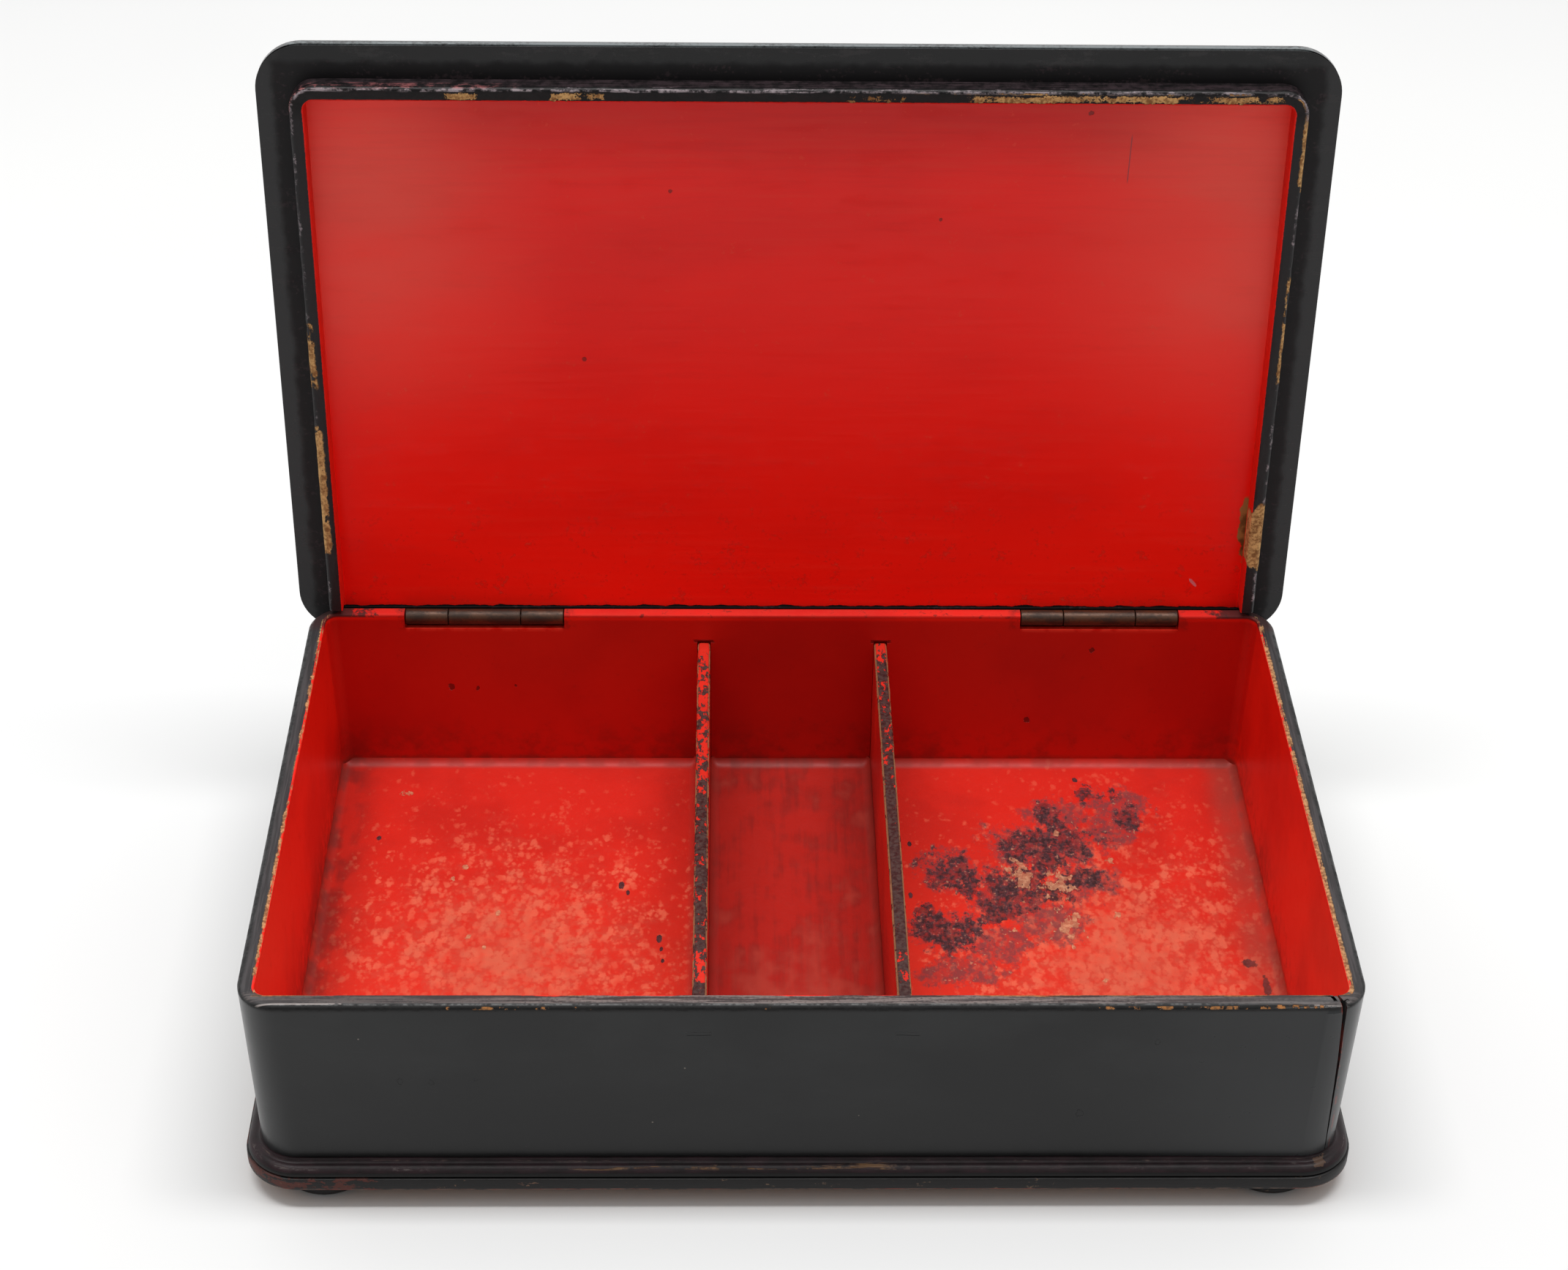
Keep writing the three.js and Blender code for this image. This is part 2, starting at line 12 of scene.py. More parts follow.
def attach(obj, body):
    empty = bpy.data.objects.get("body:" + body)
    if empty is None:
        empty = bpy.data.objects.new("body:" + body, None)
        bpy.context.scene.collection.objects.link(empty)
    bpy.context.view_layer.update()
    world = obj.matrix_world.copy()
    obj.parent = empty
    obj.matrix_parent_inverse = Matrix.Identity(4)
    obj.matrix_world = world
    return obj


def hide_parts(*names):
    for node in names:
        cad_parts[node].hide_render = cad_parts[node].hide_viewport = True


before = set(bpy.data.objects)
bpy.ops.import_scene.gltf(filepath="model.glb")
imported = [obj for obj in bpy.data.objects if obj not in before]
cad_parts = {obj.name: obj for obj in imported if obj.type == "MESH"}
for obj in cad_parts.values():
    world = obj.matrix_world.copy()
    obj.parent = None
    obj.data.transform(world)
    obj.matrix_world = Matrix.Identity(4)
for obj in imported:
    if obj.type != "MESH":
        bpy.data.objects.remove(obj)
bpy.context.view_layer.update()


# --- Base board and the red floor of each compartment ---------------------------------------------
# A board of light wood, rebated round its edge for the walls and grooved for the partitions. Its top
# carries the floor coat: vermilion over a dark ground, pooled in the corners and rubbed by use.
MM = 0.001
MIDDLE_Y = -4.915
FLOOR_Z = 10.1
BOARD_Z = 4.6
BOARD_CORNER = 8
DIVIDER_X, DIVIDER_HALF = 20.3, 1.55


def open_up(name):
    """Names the piece just added and opens it for editing, all of it selected."""
    piece = bpy.context.object
    piece.name = piece.data.name = name
    bpy.ops.object.mode_set(mode="EDIT")
    bpy.ops.mesh.select_all(action="SELECT")
    return piece


def start_outline(name, half_width, half_depth, corner, z, steps=12):
    """Lays a flat outline with round corners, from which a piece is raised, and leaves it in edit mode."""
    bpy.ops.object.select_all(action="DESELECT")
    bpy.ops.mesh.primitive_plane_add(size=2 * MM)
    piece = open_up(name)
    bpy.ops.transform.resize(value=(half_width, half_depth, 1), center_override=(0, 0, 0))
    bpy.ops.transform.translate(value=(0, MIDDLE_Y * MM, z * MM))
    bpy.ops.mesh.bevel(offset=corner * MM, segments=steps, affect="VERTICES")
    return piece


def raise_rings(half_width, half_depth, rings, middle=(0, MIDDLE_Y)):
    """Raises the selected outline through steps of inset and height, the first being where it lies."""
    inset, z = rings[0]
    for next_inset, next_z in rings[1:]:
        bpy.ops.mesh.extrude_region_move(TRANSFORM_OT_translate={"value": (0, 0, (next_z - z) * MM)})
        shares = [(half - next_inset) / (half - inset) for half in (half_width, half_depth)]
        bpy.ops.transform.resize(value=(*shares, 1), center_override=(middle[0] * MM, middle[1] * MM, 0))
        inset, z = next_inset, next_z


def block(low, high):
    """A plain block between two corners, for cutting with."""
    bpy.ops.object.select_all(action="DESELECT")
    middle = (Vector(low) + Vector(high)) / 2
    bpy.ops.mesh.primitive_cube_add(size=MM, location=middle * MM)
    tool = bpy.context.object
    tool.scale = Vector(high) - Vector(low)
    bpy.ops.object.transform_apply(location=True, rotation=True, scale=True)
    return tool


def take(piece):
    """Selects a piece alone and makes it the active one."""
    bpy.ops.object.select_all(action="DESELECT")
    piece.select_set(True)
    bpy.context.view_layer.objects.active = piece


def carve(piece, tool, operation="DIFFERENCE"):
    """Cuts a tool out of a piece, or joins it on, and puts the tool away."""
    carving = piece.modifiers.new("carving", "BOOLEAN")
    carving.operation = operation
    carving.object = tool
    carving.solver = "EXACT"
    bpy.context.view_layer.objects.active = piece
    bpy.ops.object.modifier_apply(modifier=carving.name)
    bpy.data.objects.remove(tool, do_unlink=True)


def close_up(piece, smooth=32):
    """Merges a piece's doubles, turns its faces outwards and smooths all but its sharp edges."""
    take(piece)
    bpy.ops.object.mode_set(mode="EDIT")
    bpy.ops.mesh.select_all(action="SELECT")
    bpy.ops.mesh.remove_doubles(threshold=0.004 * MM)
    bpy.ops.mesh.normals_make_consistent(inside=False)
    bpy.ops.object.mode_set(mode="OBJECT")
    bpy.ops.object.shade_smooth_by_angle(angle=math.radians(smooth))


class Tone:
    """One output in a material's node tree. Sums written with it add Math nodes."""

    def __init__(self, finish, socket):
        self.finish = finish
        self.socket = socket

    def maths(self, operation, *numbers):
        return self.finish.node("Math", {"operation": operation}, dict(enumerate(numbers)))

    def __add__(self, other):
        return self.maths("ADD", self, other)

    def __radd__(self, other):
        return self.maths("ADD", other, self)

    def __sub__(self, other):
        return self.maths("SUBTRACT", self, other)

    def __rsub__(self, other):
        return self.maths("SUBTRACT", other, self)

    def __mul__(self, other):
        return self.maths("MULTIPLY", self, other)

    def __rmul__(self, other):
        return self.maths("MULTIPLY", other, self)

    def __truediv__(self, other):
        return self.maths("DIVIDE", self, other)

    def __abs__(self):
        return self.maths("ABSOLUTE", self)

    def least(self, other):
        return self.maths("MINIMUM", self, other)

    def most(self, other):
        return self.maths("MAXIMUM", self, other)

    def root(self):
        return self.maths("SQRT", self)

    def rise(self, low, high):
        """Goes smoothly from 0 at low to 1 at high, and falls where low is the higher."""
        settings = {"interpolation_type": "SMOOTHSTEP"}
        return self.finish.node("MapRange", settings, {"Value": self, "From Min": low, "From Max": high})

    def lay(self, mask, over):
        """Lays another colour over this one where the mask is 1."""
        self.socket = self.finish.mix(mask, self, over).socket


class Finish:
    """A material and its node tree, with places on the piece in millimetres."""

    def __init__(self, name, turn=0, pivot=(0, 0)):
        self.material = bpy.data.materials.new(name)
        self.material.use_nodes = True
        self.tree = self.material.node_tree
        self.tree.nodes.clear()
        where = self.node("TexCoord", output="Object")
        y, z = pivot
        shift = (
            0,
            y - y * math.cos(turn) + z * math.sin(turn),
            z - y * math.sin(turn) - z * math.cos(turn),
        )
        self.place = self.node("Mapping", inputs={
            "Vector": where,
            "Location": shift,
            "Rotation": (turn, 0, 0),
            "Scale": (1 / MM, 1 / MM, 1 / MM),
        })
        self.split(self.place)

    def split(self, where):
        """Takes a place or a direction apart into its x, y and z."""
        self.x, self.y, self.z = [self.node("SeparateXYZ", inputs={0: where}, output=i) for i in range(3)]

    def node(self, kind, settings=None, inputs=None, output=0):
        """Adds a node, sets it up, then joins or sets its sockets."""
        node = self.tree.nodes.new("ShaderNode" + kind)
        for setting, value in (settings or {}).items():
            setattr(node, setting, value)
        for socket, value in (inputs or {}).items():
            if isinstance(value, Tone):
                self.tree.links.new(value.socket, node.inputs[socket])
            else:
                node.inputs[socket].default_value = value
        return Tone(self, node.outputs[output]) if node.outputs else None

    def noise(self, size, detail=3, rough=0.55, shift=(0, 0, 0)):
        """Cloudy noise round 0.5. Its size is one number, or one for each direction."""
        sizes = size if isinstance(size, tuple) else (size, size, size)
        spread = self.node("Mapping", inputs={
            "Vector": self.place,
            "Location": shift,
            "Scale": [1 / length for length in sizes],
        })
        return self.node("TexNoise", inputs={
            "Vector": spread, "Scale": 1, "Detail": detail, "Roughness": rough,
        })

    def specks(self, spacing, radius):
        """Small round dots scattered over the piece."""
        spread = self.node("TexVoronoi", inputs={
            "Vector": self.place, "Scale": 1 / spacing, "Randomness": 1,
        }, output="Distance")
        return spread.rise(1.3 * radius / spacing, 0.7 * radius / spacing)

    def dots(self, size):
        """Distance from the nearest of many scattered points, 1 being about one size."""
        spread = self.node("Mapping", inputs={"Vector": self.place, "Scale": [1 / length for length in size]})
        inputs = {"Vector": spread, "Scale": 1, "Randomness": 1}
        return self.node("TexVoronoi", inputs=inputs, output="Distance")

    def nearest(self, *spots):
        """Is 1 in the middle of the nearest oval spot and 0 at its edge, each by its place and half sizes."""
        depths = []
        for spot_x, spot_y, wide, deep in spots:
            across, along = (self.x - spot_x) / wide, (self.y - spot_y) / deep
            depths.append(1.0 - (across * across + along * along).root())
        return functools.reduce(Tone.most, depths)

    def blot(self, across, along, radius, ragged):
        """A ragged spot round the point where across and along are both nothing."""
        reach = (across * across + along * along).root() / radius
        return (1.0 - reach + ragged).rise(0, 0.16)

    def mix(self, mask, under, over):
        """Lays one colour over another where the mask is 1."""
        return self.node("Mix", {"data_type": "RGBA"}, {0: mask, 6: under, 7: over}, output=2)

    def surface(self, colour, roughness, height=None, metallic=0, specular=0.5):
        """Joins the colour, the roughness and the height in millimetres to one surface."""
        inputs = {"Base Color": colour, "Roughness": roughness, "Metallic": metallic,
                  "Specular IOR Level": specular}
        if height is not None:
            inputs["Normal"] = self.node("Bump", inputs={"Strength": 1, "Distance": MM, "Height": height})
        surface = self.node("BsdfPrincipled", inputs=inputs)
        self.node("OutputMaterial", inputs={"Surface": surface})
        return self.material


def ink(red, green, blue):
    """A colour as it is named on screen, 0 to 255, made linear for the shader."""
    parts = [part / 255 for part in (red, green, blue)]
    return (*[part / 12.92 if part < 0.04045 else ((part + 0.055) / 1.055) ** 2.4 for part in parts], 1)


def coat(piece, material):
    piece.data.materials.clear()
    piece.data.materials.append(material)


def floor_finish():
    finish = Finish("floor_lacquer")
    x, y, z = finish.x, finish.y, finish.z
    fine = finish.noise(0.9, 3, 0.6)
    grain = finish.noise(3.0, 6, 0.78, shift=(7, 3, 0))
    soft = finish.noise((5, 8, 5), 2, 0.5, shift=(4, 4, 4))
    broad = finish.noise(20, 3, 0.5, shift=(2, 9, 4))
    brushed = finish.noise((1.6, 30, 10), 4, 0.6)
    streaked = finish.noise((1.2, 2.8, 2), 4, 0.7, shift=(1, 6, 0))
    blotchy = finish.noise((1.8, 2.6, 3), 2, 0.5, shift=(9, 2, 7))
    clumps = finish.noise((4.4, 5.6, 4), 5, 0.68, shift=(3, 8, 1))
    large = finish.dots((2.1, 3.1, 3)) + (blotchy - 0.5) * 1.5 + (fine - 0.5) * 0.7
    small = finish.dots((1.2, 1.8, 2)) + (fine - 0.5) * 1.1
    ragged = (grain - 0.5) * 3.6 + (fine - 0.5) * 1.1
    left = x.rise(-21, -22)
    right = x.rise(21, 22)
    middle = 1.0 - left - right
    front = y.rise(52, -60)
    colour = finish.mix(broad.rise(0.4, 0.66) * 0.5, ink(192, 30, 17), ink(160, 22, 13))
    colour.lay(front * (left + right) * 0.6, ink(204, 52, 31))

    # The paint rubbed thin and pale in small soft blots, closest together in the middle of each wide floor
    worn = finish.nearest((-62, -12, 42, 52), (74, -14, 40, 58)) + front * 0.12
    cover = worn * 0.42 + (soft - 0.5) * 0.8
    pale = (cover + 0.36 - large).rise(0, 0.4).most((cover + 0.3 - small).rise(0, 0.4) * 0.75)
    pale = pale * (left + right) * (0.4 + y.rise(46, 14) * 0.6)
    colour.lay(pale * (0.3 + soft.rise(0.4, 0.62) * 0.35), ink(216, 106, 78))
    dull = (grain * 0.6 + soft * 0.35 + worn * 0.26).rise(0.5, 0.84) * (left + right)
    colour.lay(dull * 0.5, ink(166, 84, 62))

    # Darker and smudged on the narrow floor
    colour.lay(middle * 0.55, ink(122, 22, 16))
    smudges = (brushed * 0.35 + soft * 0.45 + broad * 0.3).rise(0.48, 0.66)
    colour.lay(middle * smudges * 0.5, ink(94, 22, 18))
    colour.lay(middle * (soft * 0.5 + broad * 0.5 + front * 0.1).rise(0.52, 0.72) * 0.4, ink(190, 72, 56))

    # The dark ground laid bare in a ragged drift across the right floor: a haze with darker cores
    drift = finish.nearest(
        (33.6, -2.2, 11, 10), (36, 18, 9, 10), (47, 11, 13, 13), (52, 27, 10, 12), (62, 28, 13, 11),
        (64, 15, 11, 10), (76, 41, 9, 10), (61, 39, 10, 7), (36, -15, 11, 7), (57, 2, 10, 9),
        (45, -6, 9, 9), (73, 32, 8, 8))
    core = finish.nearest(
        (33.6, -2.2, 8, 7.5), (30.6, 3, 4, 4), (36, 18, 6, 6.5), (40, 12, 4.5, 5), (47, 12, 7.5, 8),
        (53, 15, 6, 8), (58, 12, 6, 6), (64, 16, 6.5, 5.5), (52, 27, 5.5, 7), (62, 29, 9, 6.5),
        (58, 22, 6, 4), (45, 3, 4, 5), (59.5, 39, 3.5, 4.5), (68, 47.5, 2.4, 3), (74.5, 46, 2.6, 3.5),
        (78, 38, 3.2, 4.5))
    broken = (clumps - 0.5) * 3.4 + (streaked - 0.5) * 1.3 + ragged * 0.2
    mottled = finish.noise((1.5, 2.1, 3), 3, 0.6, shift=(6, 1, 3)).rise(0.38, 0.58)
    haze = (drift * 1.5 - 0.1 + broken).rise(0, 0.6)
    colour.lay(haze * (0.34 + mottled * 0.42), ink(92, 54, 56))
    bare = (core * 1.3 + 0.12 + broken * 1.5).rise(0.12, 0.5) * (0.58 + mottled * 0.42)
    chips = (grain * 0.75 + fine * 0.45).rise(0.775, 0.84) * (worn * 0.6 + 0.25) * (left + right) * 0.6
    single = finish.nearest(
        (98.8, -12.8, 1.9, 1.4), (101.6, -19.9, 0.9, 3.1), (26.7, 28.4, 0.5, 0.9), (26.1, 10.1, 0.5, 1.1),
        (66.8, 52.2, 0.6, 1.0), (-94.3, 30.3, 0.6, 0.9), (-38.5, 13.7, 0.7, 1.3), (-37.0, 11.0, 0.4, 0.8),
        (-29.7, -4.6, 0.6, 1.3), (-29.2, -8, 0.4, 0.9), (-28.8, -12, 0.4, 0.8))
    chips = chips.most((single + ragged * 0.55).rise(0, 0.16))
    bare = (bare * (1.0 - (grain * 0.6 + fine * 0.5).rise(0.58, 0.68) * 0.6)).most(chips)
    dark = finish.mix((fine * 0.5 + streaked * 0.5).rise(0.4, 0.62), ink(18, 12, 16), ink(62, 42, 48))
    colour.lay(bare * 0.93, dark)

    # Small islands of bare wood in it, and a few specks on both floors
    wood = (streaked * 0.6 + fine * 0.6).rise(0.7, 0.76) * haze * 0.55
    islands = finish.nearest((51.5, 16, 4, 9), (59.5, 13, 4.5, 8), (61, 0, 5, 6))
    wood = wood.most((islands * 0.9 + (blotchy - 0.5) * 2.6 + (streaked - 0.5) * 2.0).rise(0.45, 0.55))
    bits = finish.nearest(
        (48.6, -1.9, 0.8, 1.2), (71.6, 3.5, 1.0, 1.4), (71.7, 22.6, 1.2, 1.4), (60.8, 32.5, 0.9, 1.1),
        (61.1, -7.5, 0.7, 0.9), (66.9, -18.3, 0.7, 0.9), (-73.8, 19.9, 0.8, 1.1), (-76.3, 15.8, 0.7, 1.0),
        (-65.6, 4, 0.6, 0.9), (-71.5, -4.2, 0.9, 1.2), (-67.9, -7.7, 0.5, 0.7), (-89.3, 46.8, 1.4, 1.2))
    wood = wood.most((bits + ragged * 0.6 + (streaked - 0.5) * 3.2 - 0.2).rise(0, 0.16))
    colour.lay(wood * 0.75, finish.mix(fine.rise(0.4, 0.7), ink(160, 104, 76), ink(196, 148, 112)))

    # Dust in the angle between the floor and the walls; wider bands along the two sides are painted shade by
    # the left wall and a painted reflection by the right wall
    side_gap = 105.2 - abs(x)
    end_gap = (y + 68.2).least(58.4 - y)
    # Painted shade: darker bands along the left wall
    painted_shade_left = side_gap.rise(12, 3) * x.rise(-80, -90) * (0.4 + soft.rise(0.4, 0.6) * 0.6)
    colour.lay(painted_shade_left * 0.6, ink(132, 26, 20))
    painted_shade_streaks = side_gap.rise(7, 2.5) * x.rise(-80, -90) * (brushed * 0.3 + soft * 0.7).rise(0.42, 0.62)
    colour.lay(painted_shade_streaks * 0.4, ink(92, 28, 25))
    # Painted reflection: a lighter band along the right wall
    painted_reflection_right = side_gap.rise(10, 4) * x.rise(90, 96) * (0.5 + (broad + soft * 0.4).rise(0.5, 0.8) * 0.5)
    colour.lay(painted_reflection_right * 0.5, ink(152, 66, 54))
    seam = end_gap.rise(2.4, 0.9).most(side_gap.rise(2.2, 0.8)) * (0.2 + soft.rise(0.35, 0.6) * 0.3)
    seam = seam.most(abs(abs(x) - DIVIDER_X).rise(4, 2) * 0.35)
    colour.lay(seam, ink(112, 42, 34))
    colour.lay(z.rise(4.75, 4.65), finish.mix(brushed, ink(176, 120, 66), ink(150, 100, 54)))
    roughness = 0.34 + grain * 0.2 + bare * 0.12 + seam * 0.3
    height = grain * 0.04 + fine * 0.02 - bare * 0.06 - wood * 0.05
    return finish.surface(colour, roughness, height, specular=0.32)


board_half = (108.8, 66.9)
base = start_outline("floor_and_base", *board_half, BOARD_CORNER, BOARD_Z)
raise_rings(*board_half, [(0.4, BOARD_Z), (0, BOARD_Z + 0.4), (0, FLOOR_Z - 1.2)])
bpy.ops.object.mode_set(mode="OBJECT")
field_half = (105.07, 63.17)
field = start_outline("floor_field", *field_half, 1.4, 7.7)
raise_rings(*field_half, [(0, 7.7), (0, FLOOR_Z)])
bpy.ops.object.mode_set(mode="OBJECT")
carve(base, field, "UNION")
for side in (-1, 1):
    low_x, high_x = side * DIVIDER_X - DIVIDER_HALF, side * DIVIDER_X + DIVIDER_HALF
    carve(base, block((low_x, -80, FLOOR_Z - 1), (high_x, 70, 20)))
close_up(base)
floor_lacquer = floor_finish()
coat(base, floor_lacquer)
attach(base, "body")
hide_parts("base_board")

# The coat itself, run up a little against what stands round it
coat_cove = 2.2
for name, low_x, high_x in (("left", -105.35, -21.8), ("middle", -18.8, 18.8), ("right", 21.8, 105.35)):
    centre_x, half = (low_x + high_x) / 2, ((high_x - low_x) / 2, 63.45)
    floor_coat = start_outline("floor_coat_" + name, *half, 1.2, FLOOR_Z - 0.4, steps=5)
    rings = [(0, -0.4), (0, coat_cove + 0.05)]
    for step in range(1, 8):
        turn = math.pi / 2 * step / 7
        rings.append((coat_cove * (1 - math.cos(turn)), coat_cove * (1 - math.sin(turn)) + 0.05))
    raise_rings(*half, [(inset, FLOOR_Z + rise) for inset, rise in rings])
    bpy.ops.mesh.select_all(action="SELECT")
    bpy.ops.transform.translate(value=(centre_x * MM, 0, 0))
    bpy.ops.object.mode_set(mode="OBJECT")
    close_up(floor_coat)
    coat(floor_coat, floor_lacquer)
    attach(floor_coat, "body")


# --- Walls ---------------------------------------------------------------------------------------
# Four thin boards that lean in a little towards the base, joined near the corners and lacquered over
# as one: black outside and on the rim, red inside. The front right joint has opened from the top.
RIM_Z = 51.9
DIVIDER_TOP = 44.2
LEAN = 1.2 / 41.8
HINGE_X, HINGE_Y, HINGE_Z, LEAF_HALF = 70.5, 61.385, 50.15, 18
wall_half = (110, 68.1)


def wall_finish():
    finish = Finish("wall_lacquer")
    x, y, z = finish.x, finish.y, finish.z
    fine = finish.noise(0.8, 4, 0.6)
    grain = finish.noise(3.0, 4, 0.6, shift=(5, 1, 8))
    broad = finish.noise(28, 3, 0.5)
    along_y = finish.noise((0.5, 12, 3), 3, 0.6)
    along_x = finish.noise((14, 0.5, 3), 3, 0.6)
    depth = RIM_Z - z
    lean = depth * LEAN
    corner = 6.2
    side_in = wall_half[0] - abs(x) - lean
    front_in = y - MIDDLE_Y + wall_half[1] - lean
    back_in = wall_half[1] - y + MIDDLE_Y - lean
    across, along = (corner - side_in).most(0), (corner - front_in.least(back_in)).most(0)
    inwards = corner - (across * across + along * along).root()
    at_front = front_in.rise(4.6, 4)
    at_side = side_in.rise(4.6, 4)
    at_back = y.rise(55.5, 58) * abs(x).rise(104.5, 102.5)
    wobble = (grain - 0.5) * 0.9 + (fine - 0.5) * 0.5
    on_top = z.rise(50.9, 51.5)

    # Black: outside and on the rim; the rim's top is greyer, most of all in front, from rubbed streaks and
    # painted sheen
    streak = along_x * at_front + along_y * (1.0 - at_front)
    black = finish.mix(broad.rise(0.35, 0.7) * 0.6, ink(12, 12, 13), ink(19, 19, 19))
    # Painted reflection: the black lighter towards the top
    black.lay(z.rise(14, 50) * (0.3 + broad.rise(0.4, 0.6) * 0.5), ink(27, 28, 28))
    # Painted highlights: lighter towards the round front corners, most of all at the right
    black.lay((x.rise(56, 112) * 0.8).most(x.rise(-99, -109) * 0.45) * front_in.rise(8, 4), ink(50, 51, 52))
    # Soft lighter patches, higher up only: partly random tone, partly painted reflection
    smudges = finish.noise((34, 34, 14), 4, 0.62, shift=(4, 7, 2)).rise(0.48, 0.68) * z.rise(10, 34)
    black.lay(smudges * 0.22, ink(40, 41, 42))
    # The rim's top painted grey: rubbed streaks and painted sheen, darker towards the ends of the front rim
    flat_top = on_top * inwards.rise(0.8, 1.25)
    rim_wear_and_sheen = finish.mix(streak.rise(0.4, 0.62), ink(36, 34, 35), ink(56, 53, 54))
    front_rim_wear_and_sheen = finish.mix((streak + (fine - 0.5) * 0.3).rise(0.42, 0.6), ink(50, 45, 45), ink(108, 99, 96))
    front_rim_wear_and_sheen.lay((streak * 0.6 + fine * 0.5).rise(0.64, 0.7) * 0.7, ink(26, 23, 24))
    front_rim_wear_and_sheen.lay(abs(x - 6).rise(45, 78) * 0.6, ink(44, 41, 42))
    rim_wear_and_sheen.lay(at_front, front_rim_wear_and_sheen)
    black.lay(flat_top, rim_wear_and_sheen)
    # Painted shade: a near-black band just below the rim's outer arris
    black.lay(z.rise(50.2, 50.8) * inwards.rise(1.0, 0.8), ink(9, 8, 8))
    # A painted highlight: a thin bright line on the outer arris of the front rim, strongest at its ends
    ends = x.rise(-84, -96) * 0.3 + x.rise(94, 100) * 0.16
    shine = front_in.rise(1.15, 1.0) * front_in.rise(0.7, 0.85) * on_top
    shine = shine * (along_x * 0.5 + fine * 0.5 + grain * 0.3 + ends).rise(0.78, 0.86)
    black.lay(shine * 0.6, ink(170, 160, 156))
    specks = finish.specks(8, 0.17) * z.rise(50, 48)
    black.lay(specks * 0.55, ink(150, 140, 128))
    scratches = finish.noise((9, 9, 0.25), 2, 0.5, shift=(9, 3, 5)).rise(0.73, 0.78) * broad.rise(0.5, 0.6)
    black.lay(scratches * 0.2, ink(90, 88, 88))

    # Red: the faces that look into the box, and the whole top of the back wall
    red = finish.mix(broad.rise(0.38, 0.66) * 0.5, ink(226, 30, 13), ink(184, 13, 8))
    # Painted shade: the inside of the back wall darker below the rim
    red.lay(y.rise(55, 58) * z.rise(51, 50) * 0.6, ink(158, 10, 6))
    red.lay(z.rise(26, 12) * (grain + broad).rise(0.85, 1.2) * 0.5, ink(112, 22, 15))
    red.lay((grain * 0.6 + fine * 0.4).rise(0.58, 0.7) * 0.25, ink(124, 15, 11))
    red.lay(z.rise(13.2, 11.4) * (0.35 + grain.rise(0.4, 0.6) * 0.35), ink(112, 36, 28))
    # A streaky painted highlight on the top of the back rim
    back_rim_sheen = (along_x * 0.5 + grain * 0.5).rise(0.4, 0.62)
    red.lay(at_back * on_top * 0.3, ink(160, 18, 12))
    red.lay(at_back * on_top * back_rim_sheen * 0.2, ink(206, 60, 44))
    red.lay(at_back * on_top * (grain * 0.7 + fine * 0.4).rise(0.62, 0.7) * 0.7, ink(70, 22, 18))
    near_hinge = abs(abs(abs(x) - HINGE_X) - 19).rise(2.4, 0.8) * y.rise(55, 58) * z.rise(47.4, 48.6)
    red.lay(near_hinge * (grain + fine * 0.4).rise(0.6, 0.75) * 0.3, ink(44, 18, 15))
    # A painted highlight on the red lip below each barrel
    lip_highlight = (abs(abs(x) - HINGE_X) - 17.4).rise(0.8, 0) * z.rise(47.2, 47.7) * y.rise(55, 58)
    red.lay(lip_highlight * grain.rise(0.35, 0.55) * 0.4, ink(222, 64, 46))
    waves = at_front * on_top * (finish.noise((13, 13, 13), 3, 0.5, shift=(1, 1, 6)) - 0.5) * 2.2
    inside = (inwards - (3.1 + at_front * 0.2 - at_back * 2.45) + wobble * 0.4 + waves).rise(-0.06, 0.06)
    colour = finish.mix(inside, black, red)
    marks = []
    for dot_x, dot_z, radius in ((-78.9, 32.0, 0.7), (-72.8, 31.6, 0.5), (-64.0, 32.4, 0.35),
                                 (55.3, 22.9, 0.7), (69.2, 42.5, 0.6)):
        marks.append(finish.blot(x - dot_x, (z - dot_z) * 0.8, radius, (fine - 0.5) * 2.2))
    for end_x in (-DIVIDER_X, DIVIDER_X):
        notch = (abs(x - end_x) + (fine - 0.5) * 1.6).rise(2.6, 2.1)
        marks.append(notch * abs(z - 44.75 + (grain - 0.5) * 0.6).rise(0.5, 0.3))
    marks = functools.reduce(Tone.most, marks)
    colour.lay(marks * y.rise(50, 55) * 0.7, ink(60, 10, 8))
    cornered = (abs(x).rise(88, 105) * 0.5 + grain * 0.7 + fine * 0.3).rise(0.72, 0.84)
    colour.lay(on_top * y.rise(52, 56) * cornered * 0.9, ink(46, 26, 25))

    # Chips down to the tan core, along the inner arris of the sides and the outer arris of the front
    spread = 0.25 + x.rise(0, 60) * 0.2
    side_chip = on_top * (inwards - 3.15 + spread + wobble * 0.9).rise(-0.15, 0.05)
    side_chip = side_chip * (3.6 - inwards).rise(0, 0.15)
    worn_side = along_y * 0.5 + grain * 0.55 + x.rise(0, 60) * 0.06 + y.rise(10, -30) * 0.04
    side_chip = side_chip * at_side * worn_side.rise(0.49, 0.56) * (front_in - side_in).rise(0, 0.6)
    low_chip = z.rise(50.95, 51.1) * z.rise(51.7, 51.55) * (grain * 0.8 + fine * 0.3)
    places = (abs(x + 57) - 11).rise(4, 0) * 0.14 + (abs(x - 80) - 20).rise(4, 0) * 0.14
    front_chip = front_in.rise(1.1, 0.9) * (low_chip + places).rise(0.68, 0.73)
    front_line = on_top * (front_in + waves - 3.25).rise(-0.22, -0.05) * front_in.rise(3.9, 3.7)
    front_line = front_line * (along_x + x.rise(10, 40) * 0.25 + x.rise(-30, -60) * 0.1).rise(0.58, 0.66)
    chip = side_chip.most(front_chip).most(front_line * 0.9 * (side_in - front_in).rise(0, 0.6))
    tan = finish.mix(at_front, ink(178, 136, 92), ink(160, 106, 58))
    tan = finish.mix(fine.rise(0.35, 0.65), ink(106, 72, 42), tan)
    colour.lay(chip * 0.9, tan)

